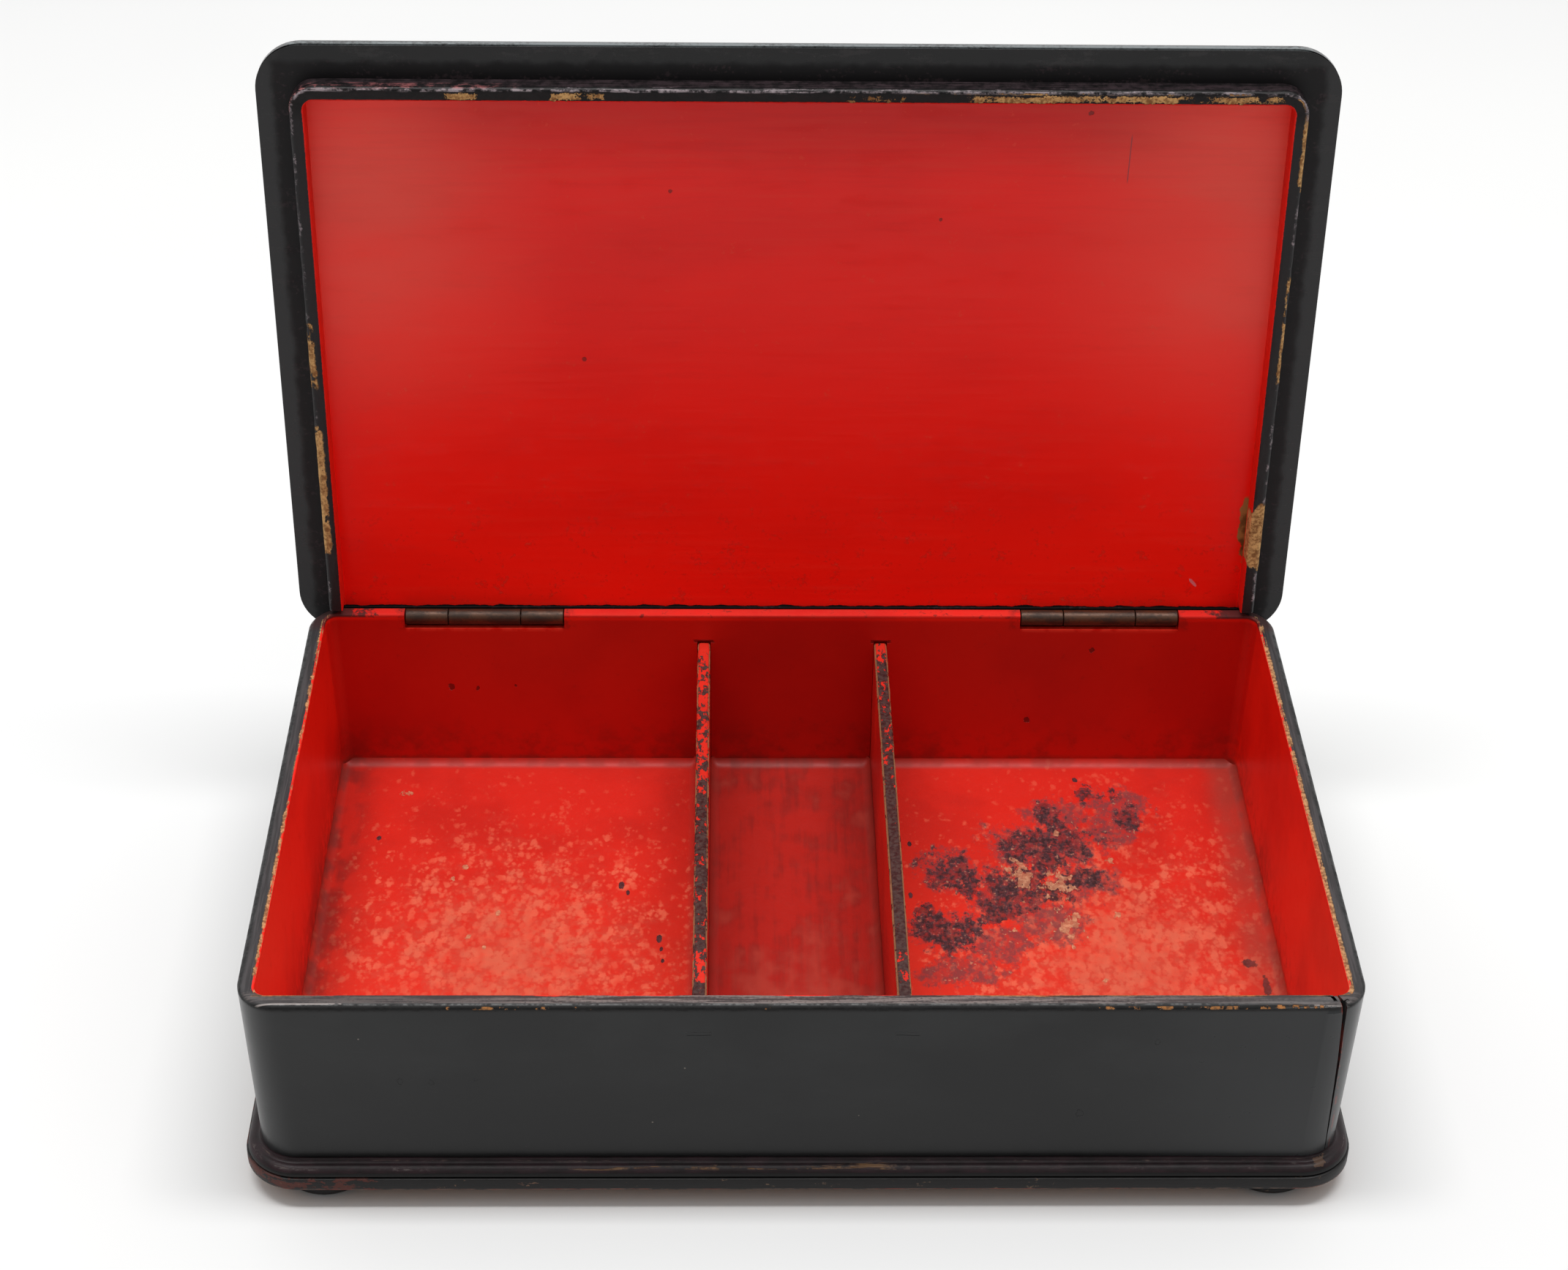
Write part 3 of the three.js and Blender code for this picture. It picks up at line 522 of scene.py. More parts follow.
    # The lips of the opened joint show the red ground
    fall = z - 10.7
    lip = x - 107.5 + fall * 0.01 + fall * fall * 0.0013 + 0.55 + (fine - 0.5) * 0.6
    lip = abs(lip).rise(0.35, 0.15) * front_in.rise(3, 2.4) * (grain + fine * 0.3).rise(0.6, 0.68)
    colour.lay(lip * 0.55, ink(128, 50, 38))

    dulled = 0.06 + (fine * 0.5 + grain * 0.5).rise(0.42, 0.6) * 0.3
    handled = z.rise(50.4, 50.9) * inwards.rise(1.35, 1.05) * dulled
    roughness = 0.25 + handled + at_back * on_top * 0.25 + flat_top * 0.22 + grain * 0.08
    roughness = roughness + chip * 0.3 + inside * 0.06
    height = grain * 0.015 + fine * 0.006 + streak * flat_top * 0.06 - chip * 0.14 - marks * 0.08
    return finish.surface(colour, roughness, height, specular=0.32)


wall_foot = 9.0


def quarter(radius, steps):
    """Insets and rises of a rounded arris, from its upright face to its flat one."""
    turns = [math.pi / 2 * step / steps for step in range(1, steps + 1)]
    return [(radius * (1 - math.cos(turn)), radius * math.sin(turn)) for turn in turns]


def pick(piece, wanted):
    """Selects, in edit mode, just the corners of a piece whose place in millimetres is wanted."""
    bpy.ops.mesh.select_mode(type="VERT")
    bpy.ops.mesh.select_all(action="DESELECT")
    mesh = bmesh.from_edit_mesh(piece.data)
    for corner in mesh.verts:
        corner.select = wanted(*(corner.co / MM))
    mesh.select_flush(True)
    bmesh.update_edit_mesh(piece.data)


def slice_at(places, axis):
    """Adds an edge loop where each upright plane crosses the piece in edit mode."""
    for place in places:
        bpy.ops.mesh.select_all(action="SELECT")
        cut = Vector((0, 0, 0))
        cut[axis] = 1
        bpy.ops.mesh.bisect(plane_co=cut * place * MM, plane_no=cut)


def lean_at(z):
    return (RIM_Z - z) * LEAN


arris = 1.2
arris_rings = [(lean_at(RIM_Z - arris) * (1 - rise / arris) + inset, RIM_Z - arris + rise)
               for inset, rise in quarter(arris, 8)]
foot_half = [half - lean_at(wall_foot) for half in wall_half]
walls = start_outline("lacquered_walls", *foot_half, 8, wall_foot, steps=16)
rings = [(lean_at(level), level) for level in (wall_foot, RIM_Z - 1.9, RIM_Z - arris)]
raise_rings(*wall_half, rings + arris_rings + [(1.5, RIM_Z)])
bpy.ops.object.mode_set(mode="OBJECT")

inner_half = (106.4, 64.5)
hollow_foot = 6.0
hollow_half = [half - lean_at(hollow_foot) for half in inner_half]
hollow = start_outline("hollow", *hollow_half, 2.6, hollow_foot, steps=8)
easing = 0.4
rings = [(lean_at(level), level) for level in (hollow_foot, RIM_Z - 0.9, RIM_Z - easing)]
flare = [(rings[-1][0] - inset, rings[-1][1] + rise) for inset, rise in quarter(easing, 5)]
raise_rings(*inner_half, rings + flare + [(-easing, 58)])
bpy.ops.object.mode_set(mode="OBJECT")
carve(walls, hollow)


def rod_along(from_x, to_x, radius, y, z, sides):
    """A plain round rod between two places along the width."""
    bpy.ops.object.select_all(action="DESELECT")
    bpy.ops.mesh.primitive_cylinder_add(
        vertices=sides, radius=radius * MM, depth=(to_x - from_x) * MM, rotation=(0, math.pi / 2, 0),
        location=((from_x + to_x) / 2 * MM, y * MM, z * MM))
    bpy.ops.object.transform_apply(location=True, rotation=True, scale=True)
    return bpy.context.object


# The back arris is eased further, so that the lid clears it
back_y, eased = 63.185, 1.6
waste = block((-130, back_y - eased, RIM_Z - eased), (130, back_y + 3, RIM_Z + 3))
carve(waste, rod_along(-140, 140, eased, back_y - eased, RIM_Z - eased, 72))
carve(walls, waste)

# Mortises for the barrels, and housings that the partitions' ends run up into
for side in (-1, 1):
    hinge_x, divider_x = side * HINGE_X, side * DIVIDER_X
    mortise = block((hinge_x - LEAF_HALF - 0.25, 57.8, 48.1), (hinge_x + LEAF_HALF + 0.25, 66, 60))
    carve(walls, mortise)
    housing = block((divider_x - DIVIDER_HALF, -70.2, 5), (divider_x + DIVIDER_HALF, 60.4, DIVIDER_TOP + 0.7))
    carve(walls, housing)

# The opened joint: a ragged wedge from the inner arris of the rim, over the front and down the corner
split_path = ((10.7, 107.5, 0.2), (17, 107.2, 0.4), (27, 106.8, 0.6), (37, 106.4, 0.75), (46, 105.6, 0.95),
              (RIM_Z, 105.1, 1.15), (53, 105.0, 1.2))
split = block((-0.5, -74.5, 10.7), (0.5, -66, 53))
bpy.ops.object.mode_set(mode="EDIT")
slice_at([height for height, place, width in split_path[1:-1]], 2)
slice_at((-72.9, -71.6, -70.4, -69.2, -68), 1)
for height, place, width in split_path:
    pick(split, lambda x, y, z: abs(z - height) < 0.01)
    bpy.ops.transform.resize(value=(width, 1, 1), center_override=(0, 0, 0))
    bpy.ops.transform.translate(value=(place * MM, 0, 0))
for depth, shift in ((-74.5, 0.9), (-71.6, -0.9), (-70.4, -1.4), (-69.2, -2.0), (-68, -2.4), (-66, -3.4)):
    pick(split, lambda x, y, z: abs(y - depth) < 0.01)
    bpy.ops.transform.translate(value=(shift * MM, 0, 0))
bpy.ops.mesh.select_all(action="SELECT")
bpy.ops.transform.vertex_random(offset=0.1 * MM, seed=4)
bpy.ops.object.mode_set(mode="OBJECT")
carve(walls, split)


def slice_at_corners():
    """Adds edge loops beside the round corners of the piece in edit mode."""
    slice_at((-100.2, 100.2), 0)
    slice_at((MIDDLE_Y - 58.3, MIDDLE_Y + 58.3), 1)


take(walls)
bpy.ops.object.mode_set(mode="EDIT")
slice_at_corners()

# The front wall's arris is worn back more and more towards the opened joint
worn_columns = ((80, 86, 0.12), (86, 92, 0.3), (92, 97, 0.52), (97, 101, 0.75), (101, 105.25, 1.0))
slice_at([start for start, end, share in worn_columns], 0)
for start, end, share in worn_columns:
    for low, high, part in ((50.6, 51.2, 0.3), (51.2, 51.6, 0.6), (51.6, 51.85, 0.85), (51.85, 52, 1.0)):
        pick(walls, lambda x, y, z: start - 0.01 < x < end - 0.01 and y < -71.3 and low <= z < high)
        bpy.ops.transform.translate(value=(0, 1.6 * share * part * MM, 0))
bpy.ops.object.mode_set(mode="OBJECT")
close_up(walls)
coat(walls, wall_finish())
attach(walls, "body")
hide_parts("front_wall", "back_wall", "left_wall", "right_wall")


# --- Partitions ----------------------------------------------------------------------------------
# Two thin boards let into the floor and the end walls, red all over. Years of fingers have rubbed
# their top edges through the red to the dark ground and, along the arrises, to the wood.
def partition_finish(name, centre_x, red_share, edge_share):
    finish = Finish(name)
    x, y, z = finish.x, finish.y, finish.z
    fine = finish.noise(0.8, 4, 0.6)
    grain = finish.noise((1.3, 3.0, 2), 4, 0.6, shift=(centre_x, 2, 0))
    broad = finish.noise(24, 3, 0.5)
    red = finish.mix(broad.rise(0.38, 0.66) * 0.55, ink(200, 28, 14), ink(158, 13, 8))
    red.lay(z.rise(24, 11) * (grain + broad).rise(0.85, 1.2) * 0.5, ink(118, 24, 17))
    top = (z + (fine - 0.5) * 0.8).rise(43.35, 43.6)
    front_end = y.rise(-46, -49) * (abs(y + 60) - 2).rise(0, 1)
    ends = y.rise(51, 58) * 1.4 + front_end * 0.9 + y.rise(0, 20) * 0.25
    bared = grain + (fine - 0.5) * 0.5 - ends * 0.16 + y.rise(12, -4) * 0.1
    bared = bared.rise(red_share, red_share + 0.04)
    dark = finish.mix(fine.rise(0.35, 0.65), ink(24, 20, 21), ink(54, 50, 47))
    colour = finish.mix(top * 0.4, red, ink(190, 48, 34))
    colour.lay(top * bared * 0.97, dark)
    arris = abs(x - centre_x).rise(1.0, 1.25) * z.rise(43.1, 43.5)
    flakes = finish.noise((1, 6, 1), 3, 0.6, shift=(3, centre_x, 0)) + fine * 0.3
    chipped = arris * flakes.rise(edge_share, edge_share + 0.06)
    colour.lay(chipped * 0.85, ink(150, 106, 72))
    height = grain * 0.04 + fine * 0.02 - top * bared * 0.08 - chipped * 0.1
    return finish.surface(colour, 0.34 + grain * 0.12 + chipped * 0.25, height, specular=0.3)


front_end, back_end = -70.0, 60.2
for name, centre_x, *shares in (("left_divider", -DIVIDER_X, 0.46, 0.6),
                                ("right_divider", DIVIDER_X, 0.36, 0.52)):
    block((centre_x - 1.45, front_end, 9.2), (centre_x + 1.45, back_end, DIVIDER_TOP))
    partition = open_up(name + "_board")
    slice_at([front_end + (back_end - front_end) * step / 70 for step in range(1, 70)], 1)
    pick(partition, lambda x, y, z: z > DIVIDER_TOP - 0.1)
    bpy.ops.mesh.bevel(offset=0.7 * MM, segments=4, affect="EDGES")
    pick(partition, lambda x, y, z: z > 43.3 and -69 < y < 59.5)
    bpy.ops.transform.vertex_random(offset=0.09 * MM, seed=int(centre_x) + 40)
    bpy.ops.object.mode_set(mode="OBJECT")
    close_up(partition, 40)
    coat(partition, partition_finish(name + "_lacquer", centre_x, *shares))
    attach(partition, "body")
    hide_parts(name)


# --- Plinth --------------------------------------------------------------------------------------
# A run moulding mitred round the base: a flat band below, a groove, a bead and a small cove up to the
# wall. Its black-brown lacquer is rubbed to red along the band and to the wood on the arrises.
def plinth_finish():
    finish = Finish("plinth_lacquer")
    x, y, z = finish.x, finish.y, finish.z
    fine = finish.noise(0.7, 4, 0.6)
    grain = finish.noise((4, 4, 1.2), 4, 0.65)
    runs = finish.noise((18, 18, 0.45), 4, 0.65)
    patches = finish.noise((6, 6, 2), 3, 0.65, shift=(31, 4, 2))
    colour = finish.mix(runs.rise(0.4, 0.62), ink(12, 12, 12), ink(20, 18, 18))
    purple = z.rise(8.6, 9.0) * (0.3 + patches.rise(0.35, 0.65) * 0.7)
    colour.lay(purple, ink(40, 25, 29))
    # Painted shade: near black in the groove between the band and the bead
    colour.lay(abs(z - 7.85).rise(0.6, 0.25), ink(7, 6, 6))
    band = z.rise(7.7, 7.5)
    colour.lay(band * 0.6, ink(33, 31, 31))
    ends = x.rise(-82, -88) * 0.12 + x.rise(-40, -55) * 0.03 + (abs(x - 84) - 3).rise(4, 0) * 0.08
    rubbed = (patches * 0.55 + grain * 0.35 + fine * 0.25 + ends).rise(0.71, 0.75) * band * z.rise(4.6, 5.4)
    colour.lay(rubbed * 0.55, ink(104, 50, 40))
    tan_bits = (patches * 0.5 + grain * 0.4 + fine * 0.35).rise(0.73, 0.78) * band
    colour.lay(tan_bits * 0.6, ink(126, 102, 82))
    # Painted highlights: a broken line along the bead's crown and a second below it, brown where worn to the
    # wood in the middle of the crown
    brown = x.rise(-50, -40) * x.rise(26, 14)
    thread = z - 9.5 + (runs - 0.5) * 1.6
    crown = abs(thread).rise(0.16, 0.05) * (patches * 0.6 + fine * 0.25 + brown * 0.09).rise(0.44, 0.56)
    colour.lay(crown * 0.75, finish.mix(brown, ink(84, 76, 74), ink(116, 84, 52)))
    second = abs(thread - 0.6).rise(0.1, 0.03) * (grain * 0.5 + patches * 0.5).rise(0.5, 0.6)
    colour.lay(second * 0.5, ink(98, 84, 76))
    hem = abs(z - 4.95 + (runs - 0.5) * 0.4).rise(0.17, 0.06) * (grain * 0.6 + patches * 0.5).rise(0.46, 0.58)
    colour.lay(hem * 0.6, finish.mix(patches.rise(0.45, 0.6), ink(128, 104, 92), ink(140, 66, 54)))
    ragged = (grain - 0.5) * 4 + (fine - 0.5) * 2.4 - 0.1
    worn_corner = finish.blot((x - 104.5) * 0.6, (z - 9.8) * 1.6, 0.8, ragged)
    colour.lay(worn_corner * y.rise(-60, -66) * 0.35, ink(122, 92, 70))
    colour.lay(finish.specks(15, 0.2) * 0.5, ink(150, 146, 142))
    colour.lay(z.rise(4.67, 4.61) * z.rise(4.4, 4.5), ink(158, 98, 44))
    height = grain * 0.05 + fine * 0.02 + runs * 0.05 - rubbed * 0.05 - (hem + crown) * 0.05
    return finish.surface(colour, 0.34 + grain * 0.14 + rubbed * 0.1, height, specular=0.22)


band_out, band_edge, bead_out, bead_radius, cove_radius, top_rise = 3.35, 2.95, 2.95, 1.8, 0.85, 6.05
bead_in = bead_out - bead_radius
moulding = [(-0.3, 0), (band_edge, 0)]
moulding += [(band_edge + 0.4 * math.sin(t), 0.4 - 0.4 * math.cos(t)) for t in (0.4, 0.8, 1.2, math.pi / 2)]
moulding += [(band_out, 2.75), (band_out - 0.08, 2.93), (band_out - 0.25, 3.0), (bead_out - 0.42, 3.02)]
moulding += [(bead_out - 0.45, 3.2), (bead_out - 0.42, 3.38)]
for step in range(13):
    turn = math.pi / 2 * step / 12
    moulding.append((bead_in + bead_radius * math.cos(turn), 3.4 + bead_radius * math.sin(turn)))
for step in range(1, 7):
    turn = math.pi / 2 * step / 6
    moulding.append((bead_in - cove_radius * math.sin(turn), top_rise - cove_radius * math.cos(turn)))
moulding += [(-0.3, top_rise)]


def draw_section(name, points):
    """Draws a closed section through points in millimetres, and leaves it selected in edit mode."""
    bpy.ops.object.select_all(action="DESELECT")
    bpy.ops.mesh.primitive_plane_add(size=MM)
    piece = open_up(name)
    bpy.ops.mesh.merge(type="CENTER")
    places = [Vector(point) * MM for point in points]
    bpy.ops.transform.translate(value=places[0])
    for place, next_place in zip(places, places[1:] + places[:1]):
        bpy.ops.mesh.extrude_region_move(TRANSFORM_OT_translate={"value": next_place - place})
    bpy.ops.mesh.select_all(action="SELECT")
    bpy.ops.mesh.remove_doubles(threshold=0.01 * MM)
    bpy.ops.mesh.select_all(action="SELECT")
    return piece


reach_x, reach_y = [half - BOARD_CORNER for half in board_half]
board_front_y = MIDDLE_Y - board_half[1]
plinth = draw_section("plinth_moulding",
                      [(-reach_x, board_front_y - out, BOARD_Z + rise) for out, rise in moulding])
for (along_x, along_y), (side_x, side_y) in (((1, 0), (1, -1)), ((0, 1), (1, 1)), ((-1, 0), (-1, 1)),
                                             ((0, -1), (-1, -1))):
    move = (2 * reach_x * along_x * MM, 2 * reach_y * along_y * MM, 0)
    bpy.ops.mesh.extrude_region_move(TRANSFORM_OT_translate={"value": move})
    turn_at = (side_x * reach_x * MM, (MIDDLE_Y + side_y * reach_y) * MM, 0)
    bpy.ops.mesh.spin(steps=14, angle=-math.pi / 2, center=turn_at, axis=(0, 0, 1))
slice_at_corners()
bpy.ops.object.mode_set(mode="OBJECT")
close_up(plinth, 40)
plinth_lacquer = plinth_finish()
coat(plinth, plinth_lacquer)
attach(plinth, "body")
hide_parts("plinth_front", "plinth_back", "plinth_left", "plinth_right")


# --- Feet ----------------------------------------------------------------------------------------
# Four small turned buns pegged into the base just inside its corners, in the plinth's lacquer. They
# are a little fuller than the solids, so that their dark edge shows below the plinth in front.
foot_profile = [(6.6, 0), (7.5, 0.1), (8.6, 0.4), (9.4, 0.85), (9.8, 1.45), (9.8, 1.9), (9.5, 2.6),
                (8.9, 3.3), (8.2, 4.0), (7.7, 4.4), (7.6, 4.7)]
foot_x, foot_y = 96.15, 58.25
for name, side_x, side_y in (("foot_front_left", -1, -1), ("foot_front_right", 1, -1),
                             ("foot_back_left", -1, 1), ("foot_back_right", 1, 1)):
    bpy.ops.object.select_all(action="DESELECT")
    bpy.ops.mesh.primitive_circle_add(vertices=56, radius=foot_profile[0][0] * MM, fill_type="NGON")
    foot = open_up(name + "_bun")
    radius = foot_profile[0][0]
    raise_rings(radius, radius, [(radius - out, rise) for out, rise in foot_profile], middle=(0, 0))
    bpy.ops.mesh.select_all(action="SELECT")
    bpy.ops.transform.translate(value=(side_x * foot_x * MM, (MIDDLE_Y + side_y * foot_y) * MM, 0))
    bpy.ops.object.mode_set(mode="OBJECT")
    close_up(foot, 50)
    coat(foot, plinth_lacquer)
    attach(foot, "body")
    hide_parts(name)


# --- Hinges --------------------------------------------------------------------------------------
# Folded brass leaves let blind into the back wall and the lid, with three knuckles on a brass pin.
# The barrels lie in a mortise as wide as the wall, and are browned nearly black.
def hinge_finish():
    finish = Finish("old_brass")
    fine = finish.noise(0.5, 4, 0.65)
    grain = finish.noise((7, 2.2, 2.2), 3, 0.55)
    tarnish = (grain + (fine - 0.5) * 0.35).rise(0.36, 0.64)
    colour = finish.mix(tarnish, ink(76, 48, 29), ink(46, 31, 20))
    colour.lay(fine.rise(0.56, 0.7) * 0.4, ink(30, 20, 14))
    return finish.surface(colour, 0.42 + tarnish * 0.14, fine * 0.02 + grain * 0.03, metallic=0.4)


def barrel(from_x, to_x):
    """One knuckle: a round of brass along the hinge line with eased ends."""
    knuckle = rod_along(from_x, to_x, 1.8, HINGE_Y, HINGE_Z, 40)
    bpy.ops.object.mode_set(mode="EDIT")
    bpy.ops.mesh.select_all(action="SELECT")
    slice_at((from_x + 0.3, to_x - 0.3), 0)
    for end in (from_x, to_x):
        pick(knuckle, lambda x, y, z: abs(x - end) < 0.01)
        bpy.ops.mesh.bevel(offset=0.14 * MM, segments=3, affect="EDGES")
    bpy.ops.object.mode_set(mode="OBJECT")
    return knuckle


def gather(name, parts):
    """Joins separate parts into one piece."""
    bpy.ops.object.select_all(action="DESELECT")
    for part in parts:
        part.select_set(True)
    bpy.context.view_layer.objects.active = parts[0]
    bpy.ops.object.join()
    parts[0].name = parts[0].data.name = name
    return parts[0]


OPENED = math.radians(92.5)
swing = (Matrix.Translation((0, HINGE_Y * MM, HINGE_Z * MM)) @ Matrix.Rotation(-OPENED, 4, "X")
         @ Matrix.Translation((0, -HINGE_Y * MM, -HINGE_Z * MM)))


def swing_open(piece):
    """Turns a piece made for the shut lid about the pins, to where it stands in the photograph."""
    take(piece)
    piece.matrix_world = swing
    bpy.ops.object.transform_apply(location=True, rotation=True, scale=True)


old_brass = hinge_finish()
knuckle_half, play, leaf_front, leaf_back = 8.18, 0.2, HINGE_Y - 0.4, HINGE_Y + 0.4
for name, centre in (("left_hinge", -HINGE_X), ("right_hinge", HINGE_X)):
    left_x, right_x = centre - LEAF_HALF, centre + LEAF_HALF
    outer = [(left_x, centre - knuckle_half - play), (centre + knuckle_half + play, right_x)]
    plate = block((left_x, leaf_front, HINGE_Z - 9), (right_x, leaf_back, HINGE_Z - 1.9))
    webs = [block((start, leaf_front, HINGE_Z - 2.5), (end, leaf_back, HINGE_Z - 1)) for start, end in outer]
    leaf = gather(name + "_body_brass", [barrel(*ends) for ends in outer] + [plate] + webs)
    close_up(leaf, 40)
    coat(leaf, old_brass)
    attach(leaf, "body")
    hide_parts(name + "_body_leaf")
    start, end = centre - knuckle_half, centre + knuckle_half
    lid_plate = block((left_x, leaf_front, 52.15), (right_x, leaf_back, 55.2))
    web = block((start, leaf_front, HINGE_Z + 1), (end, leaf_back, 52.6))
    lid_leaf = gather(name + "_lid_brass", [barrel(start, end), lid_plate, web])
    close_up(lid_leaf, 40)
    swing_open(lid_leaf)
    coat(lid_leaf, old_brass)
    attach(lid_leaf, "lid")
    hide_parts(name + "_lid_leaf")
    coat(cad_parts[name + "_pin"], old_brass)


# --- Lid board -----------------------------------------------------------------------------------
# A board with rounded edges, domed above and hollowed below. Black over the dome, the edges and the
# border underneath; the hollow is red, brushed on from side to side.
def lid_finish():
    finish = Finish("lid_lacquer", OPENED, (HINGE_Y, HINGE_Z))
    x, y, z = finish.x, finish.y, finish.z
    fine = finish.noise(0.9, 4, 0.6)
    grain = finish.noise(4, 4, 0.6)
    broad = finish.noise((60, 26, 30), 3, 0.5)
    brushed = finish.noise((26, 1.3, 4), 3, 0.55)
    rubbed = finish.noise((16, 3.5, 4), 4, 0.6, shift=(4, 4, 4))
    corner_x, corner_y = (abs(x) - 100.2).most(0), (-62.9 - y).most(0)
    field = (corner_x * corner_x + corner_y * corner_y).root().rise(2.72, 2.58)
    field = field * (y + (grain - 0.5) * 1.6).rise(59.75, 59.6) * z.rise(55.4, 55.1)
    red = finish.mix(broad.rise(0.4, 0.66) * 0.4, ink(244, 21, 6), ink(222, 15, 6))
    at_top = y.rise(-20, -62)
    red.lay((brushed + at_top * 0.06).rise(0.52, 0.72) * (0.06 + at_top * 0.1), ink(232, 74, 50))
    red.lay((brushed - at_top * 0.04).rise(0.44, 0.3) * (0.02 + at_top * 0.05), ink(140, 14, 10))
    red.lay((rubbed + fine * 0.25 + (broad - 0.5) * 0.4).rise(0.66, 0.86) * 0.07, ink(150, 20, 14))
    # A pale painted reflection towards the upper corners of the hollow
    haze = abs(x).rise(46, 90) * y.rise(26, -30) * (0.5 + broad.rise(0.3, 0.7) * 0.5)
    red.lay(haze * 0.28, ink(242, 130, 108))
    # Painted shade: darker red across the top middle of the hollow
    red.lay(y.rise(-42, -62) * abs(x).rise(96, 60) * 0.4, ink(160, 12, 8))
    near_hinge = y.rise(20, 50) * (grain * 0.6 + fine * 0.5).rise(0.6, 0.7)
    red.lay(near_hinge * 0.25, ink(96, 18, 14))
    red.lay((grain * 0.5 + fine * 0.6).rise(0.66, 0.74) * 0.25, ink(232, 92, 64))
    spots = finish.specks(19, 0.2)
    for spot_x, spot_y, radius in ((-46.4, -2.6, 0.5), (30.5, -36.4, 0.4),
                                   (-27.2, -42.8, 0.45), (60.8, -61.5, 0.6)):
        spots = spots.most(finish.blot(x - spot_x, y - spot_y, radius, (fine - 0.5) * 1.8))
    red.lay(spots * 0.7, ink(84, 14, 12))
    hairline = abs(x - 69.7 + (y + 51) * 0.02).rise(0.16, 0.06) * (abs(y + 51) - 4.5).rise(1.5, 0)
    red.lay(hairline * 0.7, ink(96, 62, 70))
    chalk = finish.blot((x - 91.8) - (y - 53.3) * 0.7, (y - 53.3) * 0.42, 0.5, (fine - 0.5) * 0.9)
    red.lay(chalk * 0.75, ink(206, 132, 140))
    lump = finish.blot(x - 102.6, (y - 39) * 0.2, 1.7, (grain - 0.5) * 1.6)
    red.lay(lump, finish.mix(grain.rise(0.4, 0.6), ink(96, 66, 30), ink(150, 112, 60)))

    # The black border is rubbed smooth towards its outer edge and left rough beside the strips; it is painted
    # darker there as painted shade, and lighter at the outer part of the sides as painted sheen
    black = finish.mix(broad.rise(0.35, 0.7) * 0.6, ink(17, 17, 18), ink(26, 25, 26))
    scuffs = (rubbed + fine * 0.25 + (grain - 0.5) * 0.4).rise(0.66, 0.82)
    black.lay(scuffs * (0.04 + z.rise(53.2, 52.6) * 0.1), ink(92, 88, 88))
    black.lay(finish.specks(11, 0.16) * 0.5, ink(140, 132, 124))
    ragged = (grain - 0.5) * 2.4
    beside = (109.2 - abs(x) + ragged).rise(-0.9, 0.9) * (y + 72.2 + ragged).rise(-0.9, 0.9)
    underside = z.rise(53.4, 52.9)
    beside = beside * underside
    # Painted sheen: the outer part of the border lighter at the sides
    black.lay((1.0 - beside) * abs(x).rise(106, 111) * underside * 0.6, ink(44, 44, 45))
    # Painted shade: nearly black beside the strips
    black.lay(beside * 0.9, ink(7, 4, 6))
    black.lay(beside * (fine * 0.5 + rubbed * 0.5).rise(0.54, 0.62) * 0.35, ink(66, 50, 54))
    # A thin painted highlight along the lid's front edge
    painted_edge_highlight = y.rise(-75.0, -75.5) * z.rise(52.4, 52.9) * z.rise(54.8, 54.2)
    black.lay(painted_edge_highlight * (rubbed * 0.6 + fine * 0.5).rise(0.4, 0.62) * 0.5, ink(122, 130, 132))
    colour = finish.mix(field, black, red)
    roughness = 0.2 - z.rise(52.3, 52.8) * 0.09 + field * 0.17 + grain * 0.08 + scuffs * 0.08
    roughness = roughness + beside * (1.0 - field) * 0.35
    height = field * (brushed * 0.03 + rubbed * 0.02) + grain * 0.015 + fine * 0.008 - spots * 0.05
    return finish.surface(colour, roughness, height, specular=0.3)


lid_half, lid_corner, under_z, shoulder_z = (112.7, 70.8), 10.7, 52.1, 56.7
under_round, top_round, dome_rise = 1.0, 2.2, 3.6
sole_half = [half - under_round for half in lid_half]
lid = start_outline("lid_dome", *sole_half, lid_corner - under_round, under_z, steps=14)
edge_z = under_z + under_round
rings = [(under_round - rise, edge_z - inset) for inset, rise in reversed(quarter(under_round, 5))]
rings += [(0, edge_z), (0, shoulder_z - top_round)]
rings += [(inset, shoulder_z - top_round + rise) for inset, rise in quarter(top_round, 6)]
raise_rings(*lid_half, [(under_round, under_z)] + rings)

# The dome: outlines that grow rounder towards the middle, so that it has no hips, each bridged to
# the one below
bpy.ops.mesh.delete(type="ONLY_FACE")
below = shoulder_z
for step in range(1, 17):
    share = (step / 16) ** 1.5
    inset = top_round + (lid_half[1] - 1 - top_round) * share
    level = shoulder_z + dome_rise * math.sin(math.pi / 2 * share)
    wide, deep = lid_half[0] - inset, lid_half[1] - inset
    bpy.ops.mesh.primitive_plane_add(size=2 * MM)
    bpy.ops.transform.resize(value=(wide, deep, 1), center_override=(0, 0, 0))
    bpy.ops.transform.translate(value=(0, MIDDLE_Y * MM, level * MM))
    bpy.ops.mesh.bevel(offset=deep * (0.139 + 0.84 * share) * MM, segments=14, affect="VERTICES")
    bpy.ops.mesh.delete(type="ONLY_FACE")
    pick(lid, lambda x, y, z: abs(z - level) < 0.01 or abs(z - below) < 0.01)
    bpy.ops.mesh.bridge_edge_loops()
    below = level
pick(lid, lambda x, y, z: abs(z - level) < 0.01)
bpy.ops.mesh.edge_face_add()
bpy.ops.object.mode_set(mode="OBJECT")


